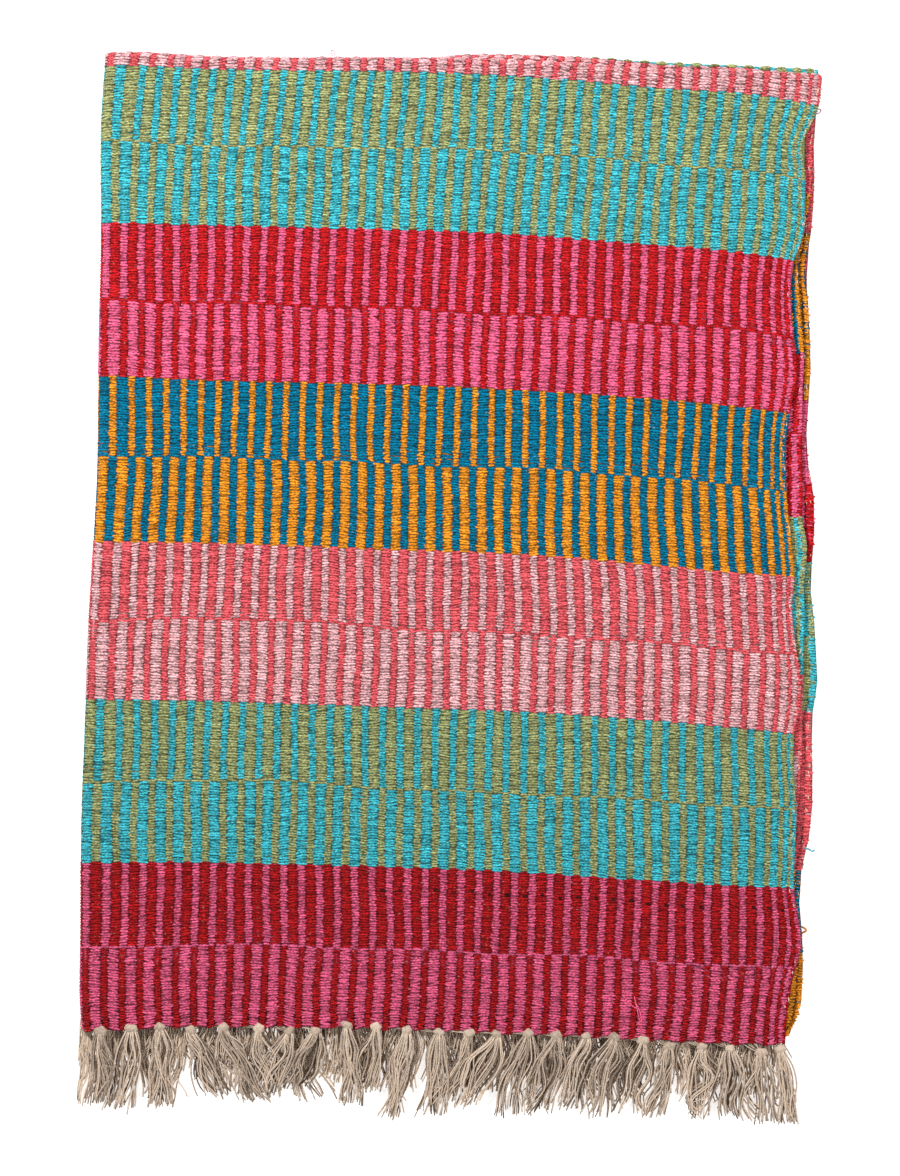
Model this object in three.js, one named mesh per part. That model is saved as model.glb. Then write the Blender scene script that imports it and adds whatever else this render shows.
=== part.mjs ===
// A folded throw blanket: one thick ribbed panel woven in twelve bands, with a knotted
// fringe at each end. It is folded once across its length, at the crest, and then once
// across its width, at the left, so four layers lie on the surface.
// Millimetres, +Z up. The origin is on the surface under the middle of the object.

import * as THREE from "three";

// The cloth before it is folded
const WOVEN_WIDTH = 1300;
const CLOTH_THICKNESS = 4;
const BANDS = [
  { yarns: "red, pink", height: 153.3 },
  { yarns: "green, turquoise", height: 148.7 },
  { yarns: "salmon, dusty pink", height: 144.1 },
  { yarns: "petrol, orange", height: 150.5 },
  { yarns: "red, pink", height: 139.6 },
  { yarns: "green, turquoise", height: 143.2 },
  { yarns: "salmon, dusty pink", height: 146.0 },
  { yarns: "petrol, orange", height: 151.9 },
  { yarns: "red, pink", height: 148.2 },
  { yarns: "green, turquoise", height: 136.8 },
  { yarns: "salmon, dusty pink", height: 144.1 },
  { yarns: "petrol, orange", height: 151.4 },
];
const ROWS_PER_BAND = 3;

// Lines that the solid follows: over each flat half, closer at the selvedge, as shares of
// its width, and round the crest, as shares of its bend
const FLAT_COLUMNS = [0, 0.035, 0.095, 0.205, 0.32, 0.45, 0.58, 0.71, 0.83, 0.925];
const CREST_ROWS = [-1, -0.67, -0.33, 0, 0.33, 0.67, 1];

// The fold: layers lie this far apart, each mid-surface one pitch above the next
const LAYER_GAP = 1;
const LAYER_PITCH = CLOTH_THICKNESS + LAYER_GAP;
const CREST_RADIUS = LAYER_PITCH / 2;
const LEFT_RADIUS = LAYER_PITCH;
const STACK_HALF = LEFT_RADIUS + CREST_RADIUS;
const QUARTER_TURN = Math.PI / 2;

// The fringe: 48 knotted tassels to an end
const TASSEL_PITCH = 27.1;
const FIRST_TASSEL = 5;
const FRINGE_THICKNESS = 3;
const FRINGE_SEAT = 0.3;
const SPINE_DEPTH = 6;
const FRINGE_ROWS = 4;
const KNOT_HALF_WIDTH = 4.5;
const TASSEL_HALF_WIDTH = 5;

// The crest line. across: place over the woven width, from the front selvedge to the back
// one. y: how far up the line lies. past_middle: how far it lies past the sixth band.
const CREST = [
  { across: 0, y: 468.0, past_middle: 28.6 },
  { across: 60, y: 471.8, past_middle: 21.5 },
  { across: 145, y: 473.2, past_middle: 17.7 },
  { across: 244, y: 479.6, past_middle: 14.9 },
  { across: 367, y: 483.5, past_middle: 13.1 },
  { across: 546, y: 484.4, past_middle: 11.6 },
  { across: 625, y: 488.6, past_middle: 12.5 },
  { across: 650, y: 488.2, past_middle: 12.5 },
  { across: 760, y: 484.0, past_middle: 10.0 },
  { across: 930, y: 483.6, past_middle: 7.0 },
  { across: 975, y: 487.7, past_middle: 6.0 },
  { across: 1060, y: 486.6, past_middle: 0.5 },
  { across: 1158, y: 480.6, past_middle: -2.5 },
  { across: 1240, y: 477.1, past_middle: -2.8 },
  { across: 1300, y: 474.0, past_middle: -7.6 },
];

// Where the edges of bands lie, as y at named places over the width. edge: how many bands
// lie between that edge and the first fringed end. The outer layer runs from the crest
// down to the first end, the inner layer from the crest down to the second end.
const OUTER_PLACES = { selvedge: 0, right: 145, middle: 367, left: 546, fold: 650, back: 1300 };
const OUTER_EDGES = [
  { edge: 5, selvedge: 296.5, right: 311.1, middle: 325.8, left: 331.2, fold: 333.0, back: 340.5 },
  { edge: 4, selvedge: 156.0, right: 170.6, middle: 184.1, left: 190.7, fold: 193.4, back: 203.3 },
  { edge: 3, selvedge: 10.3, right: 19.2, middle: 34.5, left: 39.4, fold: 42.4, back: 55.4 },
  { edge: 2, selvedge: -135.9, right: -122.3, middle: -108.8, left: -104.0, fold: -101.3, back: -86.2 },
  { edge: 1, selvedge: -273.4, right: -268.2, middle: -255.6, left: -252.3, fold: -250.0, back: -232.4 },
  { edge: 0, selvedge: -416.5, right: -411.9, middle: -401.9, left: -399.6, fold: -403.2, back: -383.1 },
];
const INNER_PLACES = { selvedge: 0, fold: 650, back: 1300 };
const INNER_EDGES = [
  { edge: 7, selvedge: 360.4, fold: 355.8, back: 323.9 },
  { edge: 8, selvedge: 214.4, fold: 205.0, back: 172.0 },
  { edge: 9, selvedge: 64.8, fold: 57.9, back: 23.7 },
  { edge: 10, selvedge: -79.4, fold: -77.9, back: -113.1 },
  { edge: 11, selvedge: -225.3, fold: -220.9, back: -257.3 },
  { edge: 12, selvedge: -375.9, fold: -371.2, back: -408.7 },
];

// The left fold's outermost line, x by y
const LEFT_FOLD = [
  { y: 490, x: -313.5 },
  { y: 415, x: -319.8 },
  { y: 313, x: -319.3 },
  { y: 236, x: -321.1 },
  { y: 80, x: -322.5 },
  { y: 12, x: -327.8 },
  { y: -36, x: -330.4 },
  { y: -175, x: -333.9 },
  { y: -312, x: -336.8 },
  { y: -372, x: -339.0 },
  { y: -405, x: -338.0 },
  { y: -490, x: -338.0 },
];

// A rib line down the middle of the front, which leans, and the selvedge's own lean
const MIDDLE_PLACE = 367;
const LEAN = [
  { y: 490, middle: -29.4, selvedge: 338.0 },
  { y: 327, middle: -41.2, selvedge: 320.0 },
  { y: 112, middle: -49.1, selvedge: 311.0 },
  { y: -110, middle: -51.7, selvedge: 316.0 },
  { y: -255, middle: -53.3, selvedge: 317.0 },
  { y: -367, middle: -57.8, selvedge: 313.0 },
  { y: -410, middle: -59.5, selvedge: 307.0 },
  { y: -490, middle: -61.5, selvedge: 305.0 },
];

// The selvedges, x by y, as they wander: the two front layers, then the two back layers
const FRONT_OUTER_SELVEDGE = [
  { y: 470, x: 339.3 },
  { y: 438, x: 335.7 },
  { y: 402, x: 322.0 },
  { y: 375, x: 323.5 },
  { y: 322, x: 321.5 },
  { y: 285, x: 311.0 },
  { y: 232, x: 312.5 },
  { y: 190, x: 316.0 },
  { y: 150, x: 308.5 },
  { y: 100, x: 305.5 },
  { y: 45, x: 311.0 },
  { y: 8, x: 314.5 },
  { y: -20, x: 311.0 },
  { y: -100, x: 320.5 },
  { y: -142, x: 313.0 },
  { y: -220, x: 316.0 },
  { y: -272, x: 313.5 },
  { y: -328, x: 319.3 },
  { y: -365, x: 311.0 },
  { y: -416, x: 305.3 },
  { y: -490, x: 303.0 },
];
const FRONT_INNER_SELVEDGE = [
  { y: 470, x: 335.0 },
  { y: 360, x: 329.0 },
  { y: 300, x: 318.5 },
  { y: 212, x: 322.5 },
  { y: 67, x: 321.5 },
  { y: 40, x: 326.0 },
  { y: -10, x: 323.5 },
  { y: -200, x: 321.0 },
  { y: -376, x: 314.0 },
  { y: -490, x: 311.0 },
];
const BACK_INNER_SELVEDGE = [
  { y: 472, x: 336.6 },
  { y: 400, x: 333.0 },
  { y: 340, x: 331.2 },
  { y: 289, x: 324.8 },
  { y: 252, x: 328.0 },
  { y: 177, x: 329.3 },
  { y: 90, x: 331.2 },
  { y: 20, x: 329.3 },
  { y: -44, x: 333.0 },
  { y: -79, x: 335.7 },
  { y: -120, x: 330.2 },
  { y: -172, x: 331.0 },
  { y: -230, x: 328.4 },
  { y: -256, x: 321.5 },
  { y: -295, x: 319.3 },
  { y: -345, x: 323.0 },
  { y: -390, x: 319.3 },
  { y: -409, x: 310.2 },
  { y: -490, x: 308.0 },
];
const BACK_OUTER_SELVEDGE = [
  { y: 472, x: 335.0 },
  { y: 200, x: 325.0 },
  { y: -80, x: 327.0 },
  { y: -300, x: 317.0 },
  { y: -383, x: 312.0 },
  { y: -490, x: 309.0 },
];
const SELVEDGE_WANDER_POWER = 8;

// How high the stack stands by y, as a share of its closed height. It rolls softly, is
// fuller at the crest, and drops over the fringe.
const LOFT = [
  { y: 490, share: 1.16 },
  { y: 462, share: 1.2 },
  { y: 400, share: 1.05 },
  { y: 180, share: 1.0 },
  { y: 0, share: 1.03 },
  { y: -200, share: 1.0 },
  { y: -386, share: 1.0 },
  { y: -425, share: 0.84 },
  { y: -490, share: 0.72 },
];
// Beside the left fold it stands a little fuller, down to where the fringe starts.
const LEFT_LOFT = { share: 0.16, reach: 34, from: -420, over: 40 };

// The 24 tassels that show in front, from the selvedge to the left fold. drop: length from
// the woven edge to the tips. sway: how far the tips swing to the right. Where two tassels
// cross, their strands mix, so a solid tooth takes half of its sway.
const FRONT_TASSELS = [
  { drop: 72, sway: 10 }, { drop: 67, sway: 3 }, { drop: 66, sway: 3 }, { drop: 67, sway: -7 },
  { drop: 68, sway: -11 }, { drop: 68, sway: -12 }, { drop: 74, sway: -20 }, { drop: 69, sway: -19 },
  { drop: 75, sway: -22 }, { drop: 77, sway: -18 }, { drop: 68, sway: -31 }, { drop: 69, sway: -22 },
  { drop: 78, sway: -7 }, { drop: 84, sway: -14 }, { drop: 61, sway: -8 }, { drop: 76, sway: 4 },
  { drop: 53, sway: -21 }, { drop: 57, sway: -18 }, { drop: 62, sway: 12 }, { drop: 70, sway: 31 },
  { drop: 65, sway: 26 }, { drop: 73, sway: -3 }, { drop: 77, sway: -13 }, { drop: 69, sway: 2 },
];
const SOLID_SWAY = 0.5;
const STRAIGHT_AT_FOLD = 25;
const TASSELS_PER_END = 48;
const HIDDEN_DROP = { mean: 66, spread: 6, turn: 1.7 };
const HIDDEN_SWAY = { spread: 9, turn: 2.3 };

// Colours of the yarns where one colour has to stand for the whole piece
const CLOTH_COLOUR = "#c9606a";
const FRINGE_COLOUR = "#b0a498";

// A smooth line through the rows of a table: column keyed by place
function smoothThrough(places, values, at) {
  const last = places.length - 1;
  const rising = places[last] > places[0];
  const before = (a, b) => (rising ? a <= b : a >= b);
  if (before(at, places[0])) return values[0];
  if (before(places[last], at)) return values[last];
  let i = 0;
  while (before(places[i + 1], at)) i += 1;
  const slope = (k) => {
    if (k === 0 || k === last) {
      const j = k === 0 ? 0 : last - 1;
      return (values[j + 1] - values[j]) / (places[j + 1] - places[j]);
    }
    return (values[k + 1] - values[k - 1]) / (places[k + 1] - places[k - 1]);
  };
  const span = places[i + 1] - places[i];
  const t = (at - places[i]) / span;
  const s = t * t * (3 - 2 * t);
  const bend = t * (1 - t) * span;
  return values[i] * (1 - s) + values[i + 1] * s + bend * ((1 - t) * slope(i) - t * slope(i + 1));
}

function column(table, key) {
  return table.map((row) => row[key]);
}

function read(table, by, key, at) {
  return smoothThrough(column(table, by), column(table, key), at);
}

// Distance of each band's edge from the first fringed end
const EDGES = [0];
for (const band of BANDS) EDGES.push(EDGES.at(-1) + band.height);
const MIDDLE_EDGE = EDGES[BANDS.length / 2];
const WOVEN_LENGTH = EDGES.at(-1);

function crestAlong(across) {
  return MIDDLE_EDGE + read(CREST, "across", "past_middle", across);
}

// y of the axis that the cloth bends round at the crest
function crestAxis(across) {
  return read(CREST, "across", "y", across) - CREST_RADIUS - CLOTH_THICKNESS / 2;
}

// y of the flat part of a layer, between the crest and the woven end
function layerY(across, along) {
  const crest = crestAlong(across);
  const table = along < crest ? OUTER_EDGES : INNER_EDGES;
  const places = along < crest ? OUTER_PLACES : INNER_PLACES;
  const keys = Object.keys(places);
  const pastBend = (value) => Math.abs(value - crest) - QUARTER_TURN * CREST_RADIUS;
  const distances = [0];
  const ys = [crestAxis(across)];
  for (const row of table) {
    distances.push(pastBend(EDGES[row.edge]));
    ys.push(smoothThrough(keys.map((key) => places[key]), keys.map((key) => row[key]), across));
  }
  return smoothThrough(distances, ys, pastBend(along));
}

function stackLoft(x, y) {
  const fromFold = x - read(LEFT_FOLD, "y", "x", y);
  const rise = LEFT_LOFT.share * Math.exp(-((fromFold / LEFT_LOFT.reach) ** 2));
  const onCloth = THREE.MathUtils.clamp((y - LEFT_LOFT.from) / LEFT_LOFT.over, 0, 1);
  return read(LOFT, "y", "share", y) + rise * onCloth;
}

// x of a point whose distance right of the left fold's axis is reach, on the cloth's front
// or back half and on its outer or inner layer
function placeAcross(reach, y, front, outerShare, selvedgeReach) {
  const axis = read(LEFT_FOLD, "y", "x", y) + STACK_HALF + CLOTH_THICKNESS / 2;
  if (reach <= 0) return axis + reach;
  const outer = read(front ? FRONT_OUTER_SELVEDGE : BACK_OUTER_SELVEDGE, "y", "x", y);
  const inner = read(front ? FRONT_INNER_SELVEDGE : BACK_INNER_SELVEDGE, "y", "x", y);
  const wandering = outer * outerShare + inner * (1 - outerShare);
  const straight = read(LEAN, "y", "selvedge", y);
  const middle = read(LEAN, "y", "middle", y);
  const middleReach = selvedgeReach * (1 - MIDDLE_PLACE / (WOVEN_WIDTH / 2));
  const share = reach / selvedgeReach;
  const x = smoothThrough([0, middleReach, selvedgeReach], [axis, middle, straight], reach);
  return x + (wandering - straight) * share ** SELVEDGE_WANDER_POWER;
}

// Place of a point of the cloth in the folded blanket. across and along are its place in
// the flat panel, lift is its height over the cloth's mid-surface, on the face that is
// outermost when folded.
function place(across, along, lift) {
  const past = along - crestAlong(across);
  const bend = QUARTER_TURN * CREST_RADIUS;
  const turn = THREE.MathUtils.clamp(past / CREST_RADIUS, -QUARTER_TURN, QUARTER_TURN);
  const inBend = Math.abs(past) < bend;
  const height = -CREST_RADIUS * Math.sin(turn);
  const outerShare = (1 + height / CREST_RADIUS) / 2;

  const radius = LEFT_RADIUS + height;
  const fromFold = across - WOVEN_WIDTH / 2;
  const swing = THREE.MathUtils.clamp(fromFold / radius, -QUARTER_TURN, QUARTER_TURN);
  const beyond = Math.abs(fromFold) - QUARTER_TURN * radius;
  const reach = beyond > 0 ? beyond : -radius * Math.cos(swing);
  const level = -radius * Math.sin(swing);
  const outwardX = beyond > 0 ? 0 : -Math.cos(swing);
  const outwardZ = -Math.sin(swing);

  const y = inBend ? crestAxis(across) + CREST_RADIUS * Math.cos(turn) : layerY(across, along);
  const selvedgeReach = WOVEN_WIDTH / 2 - QUARTER_TURN * radius;
  const x = placeAcross(reach, y, fromFold < 0, outerShare, selvedgeReach);
  const z = CLOTH_THICKNESS / 2 + (level + STACK_HALF) * stackLoft(x, y);

  const outward = -Math.sin(turn) * lift;
  return new THREE.Vector3(
    x + outwardX * outward,
    y + (inBend ? Math.cos(turn) * lift : 0),
    z + outwardZ * outward,
  );
}

// Closed sheet over a grid of lines, left out where keep says so. corner gives the place of
// a grid point on either face.
function sheetSolid(columns, rows, keep, corner) {
  const points = [];
  const index = new Map();
  const pointAt = (i, j, side) => {
    const key = `${i},${j},${side}`;
    if (!index.has(key)) {
      index.set(key, points.length / 3);
      points.push(...corner(i, j, side).toArray());
    }
    return index.get(key);
  };
  const faces = [];
  const quad = (a, b, c, d) => faces.push(a, b, c, a, c, d);
  const kept = (i, j) => i >= 0 && j >= 0 && i < columns - 1 && j < rows - 1 && keep(i, j);
  for (let i = 0; i < columns - 1; i += 1) {
    for (let j = 0; j < rows - 1; j += 1) {
      if (!kept(i, j)) continue;
      const top = [[i, j], [i, j + 1], [i + 1, j + 1], [i + 1, j]].map(([a, b]) => pointAt(a, b, 1));
      const low = [[i, j], [i, j + 1], [i + 1, j + 1], [i + 1, j]].map(([a, b]) => pointAt(a, b, -1));
      quad(top[0], top[1], top[2], top[3]);
      quad(low[3], low[2], low[1], low[0]);
      if (!kept(i - 1, j)) quad(low[0], low[1], top[1], top[0]);
      if (!kept(i, j + 1)) quad(low[1], low[2], top[2], top[1]);
      if (!kept(i + 1, j)) quad(low[2], low[3], top[3], top[2]);
      if (!kept(i, j - 1)) quad(low[3], low[0], top[0], top[3]);
    }
  }
  const geometry = new THREE.BufferGeometry();
  geometry.setAttribute("position", new THREE.Float32BufferAttribute(points, 3));
  geometry.setIndex(faces);
  geometry.computeVertexNormals();
  return geometry;
}

// Lines over the width: even ones on the flat halves, close ones round the left fold
function clothColumns() {
  const middle = WOVEN_WIDTH / 2;
  const outerBend = QUARTER_TURN * (LEFT_RADIUS + CREST_RADIUS);
  const innerBend = QUARTER_TURN * (LEFT_RADIUS - CREST_RADIUS);
  const flat = FLAT_COLUMNS.map((share) => share * (middle - outerBend));
  const round = [outerBend, (outerBend + innerBend) / 2, innerBend, innerBend / 2, 0];
  const half = [...flat, ...round.map((reach) => middle - reach)];
  return [...half, ...half.slice(0, -1).map((across) => WOVEN_WIDTH - across).reverse()];
}

// Rows along the warp, given for each line over the width: even ones in each band, close
// ones round the crest. Each row is a distance from the first end.
function clothRows(across) {
  const middleBand = BANDS.length / 2;
  const outer = [];
  const inner = [];
  for (let band = 0; band < middleBand; band += 1) {
    for (let step = 0; step < ROWS_PER_BAND; step += 1) {
      const share = step / ROWS_PER_BAND;
      outer.push(EDGES[band] + BANDS[band].height * share);
      const mirrored = BANDS.length - 1 - band;
      inner.unshift(EDGES[mirrored + 1] - BANDS[mirrored].height * share);
    }
  }
  const bend = QUARTER_TURN * CREST_RADIUS;
  const round = CREST_ROWS.map((share) => crestAlong(across) + bend * share);
  return [...outer, ...round, ...inner];
}

function makeCloth() {
  const columns = clothColumns();
  const rowCount = clothRows(0).length;
  const corner = (i, j, side) => {
    const along = clothRows(columns[i])[j];
    return place(columns[i], along, (side * CLOTH_THICKNESS) / 2);
  };
  return sheetSolid(columns.length, rowCount, () => true, corner);
}

// A point of a woven end, on the straight stretch between two of the cloth's own lines
function wovenEdge(across, along) {
  const columns = clothColumns();
  const next = Math.max(1, columns.findIndex((value) => value >= across));
  const share = (across - columns[next - 1]) / (columns[next] - columns[next - 1]);
  return place(columns[next - 1], along, 0).lerp(place(columns[next], along, 0), share);
}

function tasselShape(number, shown) {
  if (shown && number < FRONT_TASSELS.length) return FRONT_TASSELS[number];
  return {
    drop: HIDDEN_DROP.mean + HIDDEN_DROP.spread * Math.sin(HIDDEN_DROP.turn * number),
    sway: HIDDEN_SWAY.spread * Math.sin(HIDDEN_SWAY.turn * number),
  };
}

// One comb along a woven end: a spine with a tapered tooth for each tassel. Its rows run
// away from the panel, so at the first end they run the other way and the faces swap.
function makeFringe(along, shown) {
  const facing = along === 0 ? -1 : 1;
  const toothCentre = (number) => FIRST_TASSEL + TASSEL_PITCH * number;
  const tasselAt = (across) => Math.round((across - FIRST_TASSEL) / TASSEL_PITCH);
  const sides = [];
  for (let number = 0; number < TASSELS_PER_END; number += 1) {
    sides.push(toothCentre(number) - KNOT_HALF_WIDTH, toothCentre(number) + KNOT_HALF_WIDTH);
  }
  const columns = [...clothColumns(), ...sides].sort((a, b) => a - b);
  const inTooth = (across) => Math.abs(across - toothCentre(tasselAt(across))) < KNOT_HALF_WIDTH;
  const keep = (i, j) => j === 0 || inTooth((columns[i] + columns[i + 1]) / 2);
  const corner = (i, j, side) => {
    const edge = wovenEdge(columns[i], along);
    const number = THREE.MathUtils.clamp(tasselAt(columns[i]), 0, TASSELS_PER_END - 1);
    const tassel = tasselShape(number, shown);
    const centre = toothCentre(number);
    const reach = [FRINGE_SEAT, SPINE_DEPTH, tassel.drop / 2, tassel.drop][j];
    const share = reach / tassel.drop;
    const y = edge.y - reach;
    const level = (edge.z - CLOTH_THICKNESS / 2) / stackLoft(edge.x, edge.y);
    const widening = (TASSEL_HALF_WIDTH / KNOT_HALF_WIDTH - 1) * share;
    const outward = (centre - columns[i]) * Math.sign(WOVEN_WIDTH / 2 - centre);
    const free = j > 1 && Math.abs(centre - WOVEN_WIDTH / 2) > STRAIGHT_AT_FOLD;
    const x = edge.x + (free ? outward * widening + tassel.sway * SOLID_SWAY * share : 0);
    const normal = place(columns[i], along, 1).sub(place(columns[i], along, 0));
    const z = FRINGE_THICKNESS / 2 + level * stackLoft(edge.x, y);
    return new THREE.Vector3(x, y, z).addScaledVector(normal, (facing * side * FRINGE_THICKNESS) / 2);
  };
  return sheetSolid(columns.length, FRINGE_ROWS, keep, corner);
}

function clothMesh(name, geometry, colour) {
  const material = new THREE.MeshStandardMaterial({ color: colour, roughness: 0.9, metalness: 0 });
  const mesh = new THREE.Mesh(geometry, material);
  mesh.name = name;
  return mesh;
}

const blanket = new THREE.Group();
blanket.add(clothMesh("cloth", makeCloth(), CLOTH_COLOUR));
blanket.add(clothMesh("fringe_front_end", makeFringe(0, true), FRINGE_COLOUR));
blanket.add(clothMesh("fringe_back_end", makeFringe(WOVEN_LENGTH, false), FRINGE_COLOUR));

export default blanket;
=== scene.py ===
"""Looks of a folded throw blanket.

It is one thick rib weave in twelve two-colour bands, folded in four and laid flat, with a
knotted fringe at each end. The cloth is a thin doubled sheet on its solid's folds, with
every weft float that shows laid over it as a stitch.

Lengths are millimetres until a mesh is made. Across runs over the woven width, from the
front selvedge (0) round the left fold (650) to the back selvedge (1300). Along runs up the
warp, from the first fringed end (0) over the crest to the second one (about 1758). Lift is
the height over the cloth's middle, on the face that is outermost when folded.
"""

import logging
import math
from collections.abc import Callable
from dataclasses import dataclass, field
from enum import Enum

import bpy
import numpy as np
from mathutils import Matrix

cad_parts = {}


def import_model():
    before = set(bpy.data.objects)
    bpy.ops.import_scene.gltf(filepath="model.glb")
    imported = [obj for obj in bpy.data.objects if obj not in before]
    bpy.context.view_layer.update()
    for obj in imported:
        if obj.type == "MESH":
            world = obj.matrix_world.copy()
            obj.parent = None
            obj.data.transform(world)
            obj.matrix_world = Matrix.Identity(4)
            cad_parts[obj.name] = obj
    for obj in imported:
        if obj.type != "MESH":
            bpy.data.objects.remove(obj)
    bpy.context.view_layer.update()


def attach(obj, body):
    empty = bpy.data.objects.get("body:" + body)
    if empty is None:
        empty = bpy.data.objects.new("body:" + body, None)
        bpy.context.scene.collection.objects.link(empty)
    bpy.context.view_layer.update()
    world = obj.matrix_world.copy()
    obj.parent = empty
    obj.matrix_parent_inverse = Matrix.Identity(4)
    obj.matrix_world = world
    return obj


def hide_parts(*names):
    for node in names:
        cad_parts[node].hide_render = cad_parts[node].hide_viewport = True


log = logging.getLogger("blanket")

METRES = 0.001
BODY = "root"


def linear(hex_colour: str) -> tuple[float, float, float, float]:
    """Turn an sRGB hex colour to linear light.

    Args:
        hex_colour: colour such as "#c42a31".

    Returns:
        Red, green, blue and an alpha of 1.
    """
    values = [int(hex_colour[i : i + 2], 16) / 255 for i in (1, 3, 5)]
    curve = [v / 12.92 if v <= 0.04045 else ((v + 0.055) / 1.055) ** 2.4 for v in values]
    return (curve[0], curve[1], curve[2], 1.0)


def add_node(
    tree: bpy.types.NodeTree,
    kind: str,
    settings: dict | None = None,
    links: dict | None = None,
) -> bpy.types.Node:
    """Add a node with its settings and links.

    Args:
        tree: the material's node tree.
        kind: the node's Blender type.
        settings: property or input names, or input numbers, with their values.
        links: input names or numbers, with the output sockets that feed them.

    Returns:
        The new node.
    """
    node = tree.nodes.new(kind)
    for key, value in (settings or {}).items():
        if isinstance(key, str) and hasattr(node, key):
            setattr(node, key, value)
        else:
            node.inputs[key].default_value = value
    for key, socket in (links or {}).items():
        tree.links.new(socket, node.inputs[key])
    return node


def smooth_through(places: np.ndarray, values: np.ndarray, at: np.ndarray) -> np.ndarray:
    """Read a smooth line through a table's rows.

    Args:
        places: the rows' places, rising or falling, one column or one for each point.
        values: the rows' values, one column or one for each point.
        at: the points' places.

    Returns:
        The value at each point, held level past the table's ends.
    """
    at = np.asarray(at, float)
    places = np.asarray(places, float)
    values = np.asarray(values, float)
    places = places if places.ndim == 2 else places[:, None]
    values = values if values.ndim == 2 else values[:, None]
    if places[0, 0] > places[-1, 0]:
        places, values = places[::-1], values[::-1]
    slopes = np.empty(np.broadcast_shapes(places.shape, values.shape))
    slopes[1:-1] = (values[2:] - values[:-2]) / (places[2:] - places[:-2])
    slopes[0] = (values[1] - values[0]) / (places[1] - places[0])
    slopes[-1] = (values[-1] - values[-2]) / (places[-1] - places[-2])
    at = np.clip(at, places[0], places[-1])
    row = np.zeros(at.shape, int)
    for start in places[1:-1]:
        row += at >= start

    def pick(table: np.ndarray, rows: np.ndarray) -> np.ndarray:
        """Take each point's row of a table."""
        column = np.arange(len(at)) if table.shape[1] > 1 else 0
        return table[rows, column]

    span = pick(places, row + 1) - pick(places, row)
    t = (at - pick(places, row)) / span
    s = t * t * (3 - 2 * t)
    bend = t * (1 - t) * span
    line = pick(values, row) * (1 - s) + pick(values, row + 1) * s
    return line + bend * ((1 - t) * pick(slopes, row) - t * pick(slopes, row + 1))


@dataclass(frozen=True)
class CottonWeft:
    """Dyed cotton weft, softly spun and thick: matte, fuzzy and uneven in its dye."""

    label: str
    colour: str
    # How far its floats reach past their rib's edge, and how high their ends ride there
    reach: float = 0.7
    ride: float = 0.6
    fleck: str = "#f2dcc8"

    def material(self) -> bpy.types.Material:
        """Make the yarn's material.

        Returns:
            A matte dyed cotton with streaks of fibre, small pale flecks and a soft sheen, and painted
            shade where its hollow attribute marks grooves and ends.
        """
        found = bpy.data.materials.get(f"dyed_cotton_weft_{self.label}")
        if found:
            return found
        made = bpy.data.materials.new(f"dyed_cotton_weft_{self.label}")
        made.use_nodes = True
        tree = made.node_tree
        tree.nodes.clear()
        tone = add_node(tree, "ShaderNodeAttribute", {"attribute_name": "tone"})
        hollow = add_node(tree, "ShaderNodeAttribute", {"attribute_name": "hollow"})
        place = add_node(tree, "ShaderNodeTexCoord")
        # Fibres run with the float, about 0.7 mm thick and three times as long
        lay = add_node(
            tree,
            "ShaderNodeMapping",
            {"Scale": (0.5, 1.0, 1.0), "Rotation": (0.0, 0.0, 0.12)},
            {"Vector": place.outputs["Object"]},
        )
        fibre = add_node(
            tree,
            "ShaderNodeTexNoise",
            {"Scale": 900.0, "Detail": 1.0, "Roughness": 0.6},
            {"Vector": lay.outputs["Vector"]},
        )
        light = add_node(
            tree,
            "ShaderNodeMapRange",
            {"From Min": 0.36, "From Max": 0.64, "To Min": 0.46, "To Max": 1.64},
            {"Value": fibre.outputs["Fac"]},
        )
        # Painted shade: the colour darkens to 0.3 where the hollow attribute marks a float's grooves
        # and ends
        depth = add_node(
            tree,
            "ShaderNodeMapRange",
            {"From Min": 0.0, "From Max": 1.0, "To Min": 1.0, "To Max": 0.3},
            {"Value": hollow.outputs["Fac"]},
        )
        dyed = add_node(
            tree,
            "ShaderNodeMath",
            {"operation": "MULTIPLY"},
            {0: light.outputs["Result"], 1: tone.outputs["Fac"]},
        )
        amount = add_node(
            tree,
            "ShaderNodeMath",
            {"operation": "MULTIPLY"},
            {0: dyed.outputs["Value"], 1: depth.outputs["Result"]},
        )
        colour = add_node(
            tree,
            "ShaderNodeVectorMath",
            {"operation": "SCALE", 0: linear(self.colour)[:3]},
            {"Scale": amount.outputs["Value"]},
        )
        specks = add_node(
            tree,
            "ShaderNodeTexNoise",
            {"Scale": 380.0, "Detail": 1.0},
            {"Vector": place.outputs["Object"]},
        )
        pale = add_node(
            tree,
            "ShaderNodeMapRange",
            {"From Min": 0.68, "From Max": 0.78, "To Min": 0.0, "To Max": 0.2},
            {"Value": specks.outputs["Fac"]},
        )
        mixed = add_node(
            tree,
            "ShaderNodeMix",
            {"data_type": "RGBA", 7: linear(self.fleck)},
            {0: pale.outputs["Result"], 6: colour.outputs["Vector"]},
        )
        bump = add_node(
            tree,
            "ShaderNodeBump",
            {"Strength": 0.9, "Distance": 0.0009},
            {"Height": fibre.outputs["Fac"]},
        )
        shader = add_node(
            tree,
            "ShaderNodeBsdfPrincipled",
            {
                "Roughness": 0.88,
                "IOR": 1.5,
                "Specular IOR Level": 0.1,
                "Sheen Weight": 0.04,
                "Sheen Roughness": 0.5,
            },
            {"Base Color": mixed.outputs[2], "Normal": bump.outputs["Normal"]},
        )
        add_node(tree, "ShaderNodeOutputMaterial", links={"Surface": shader.outputs["BSDF"]})
        return made


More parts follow.
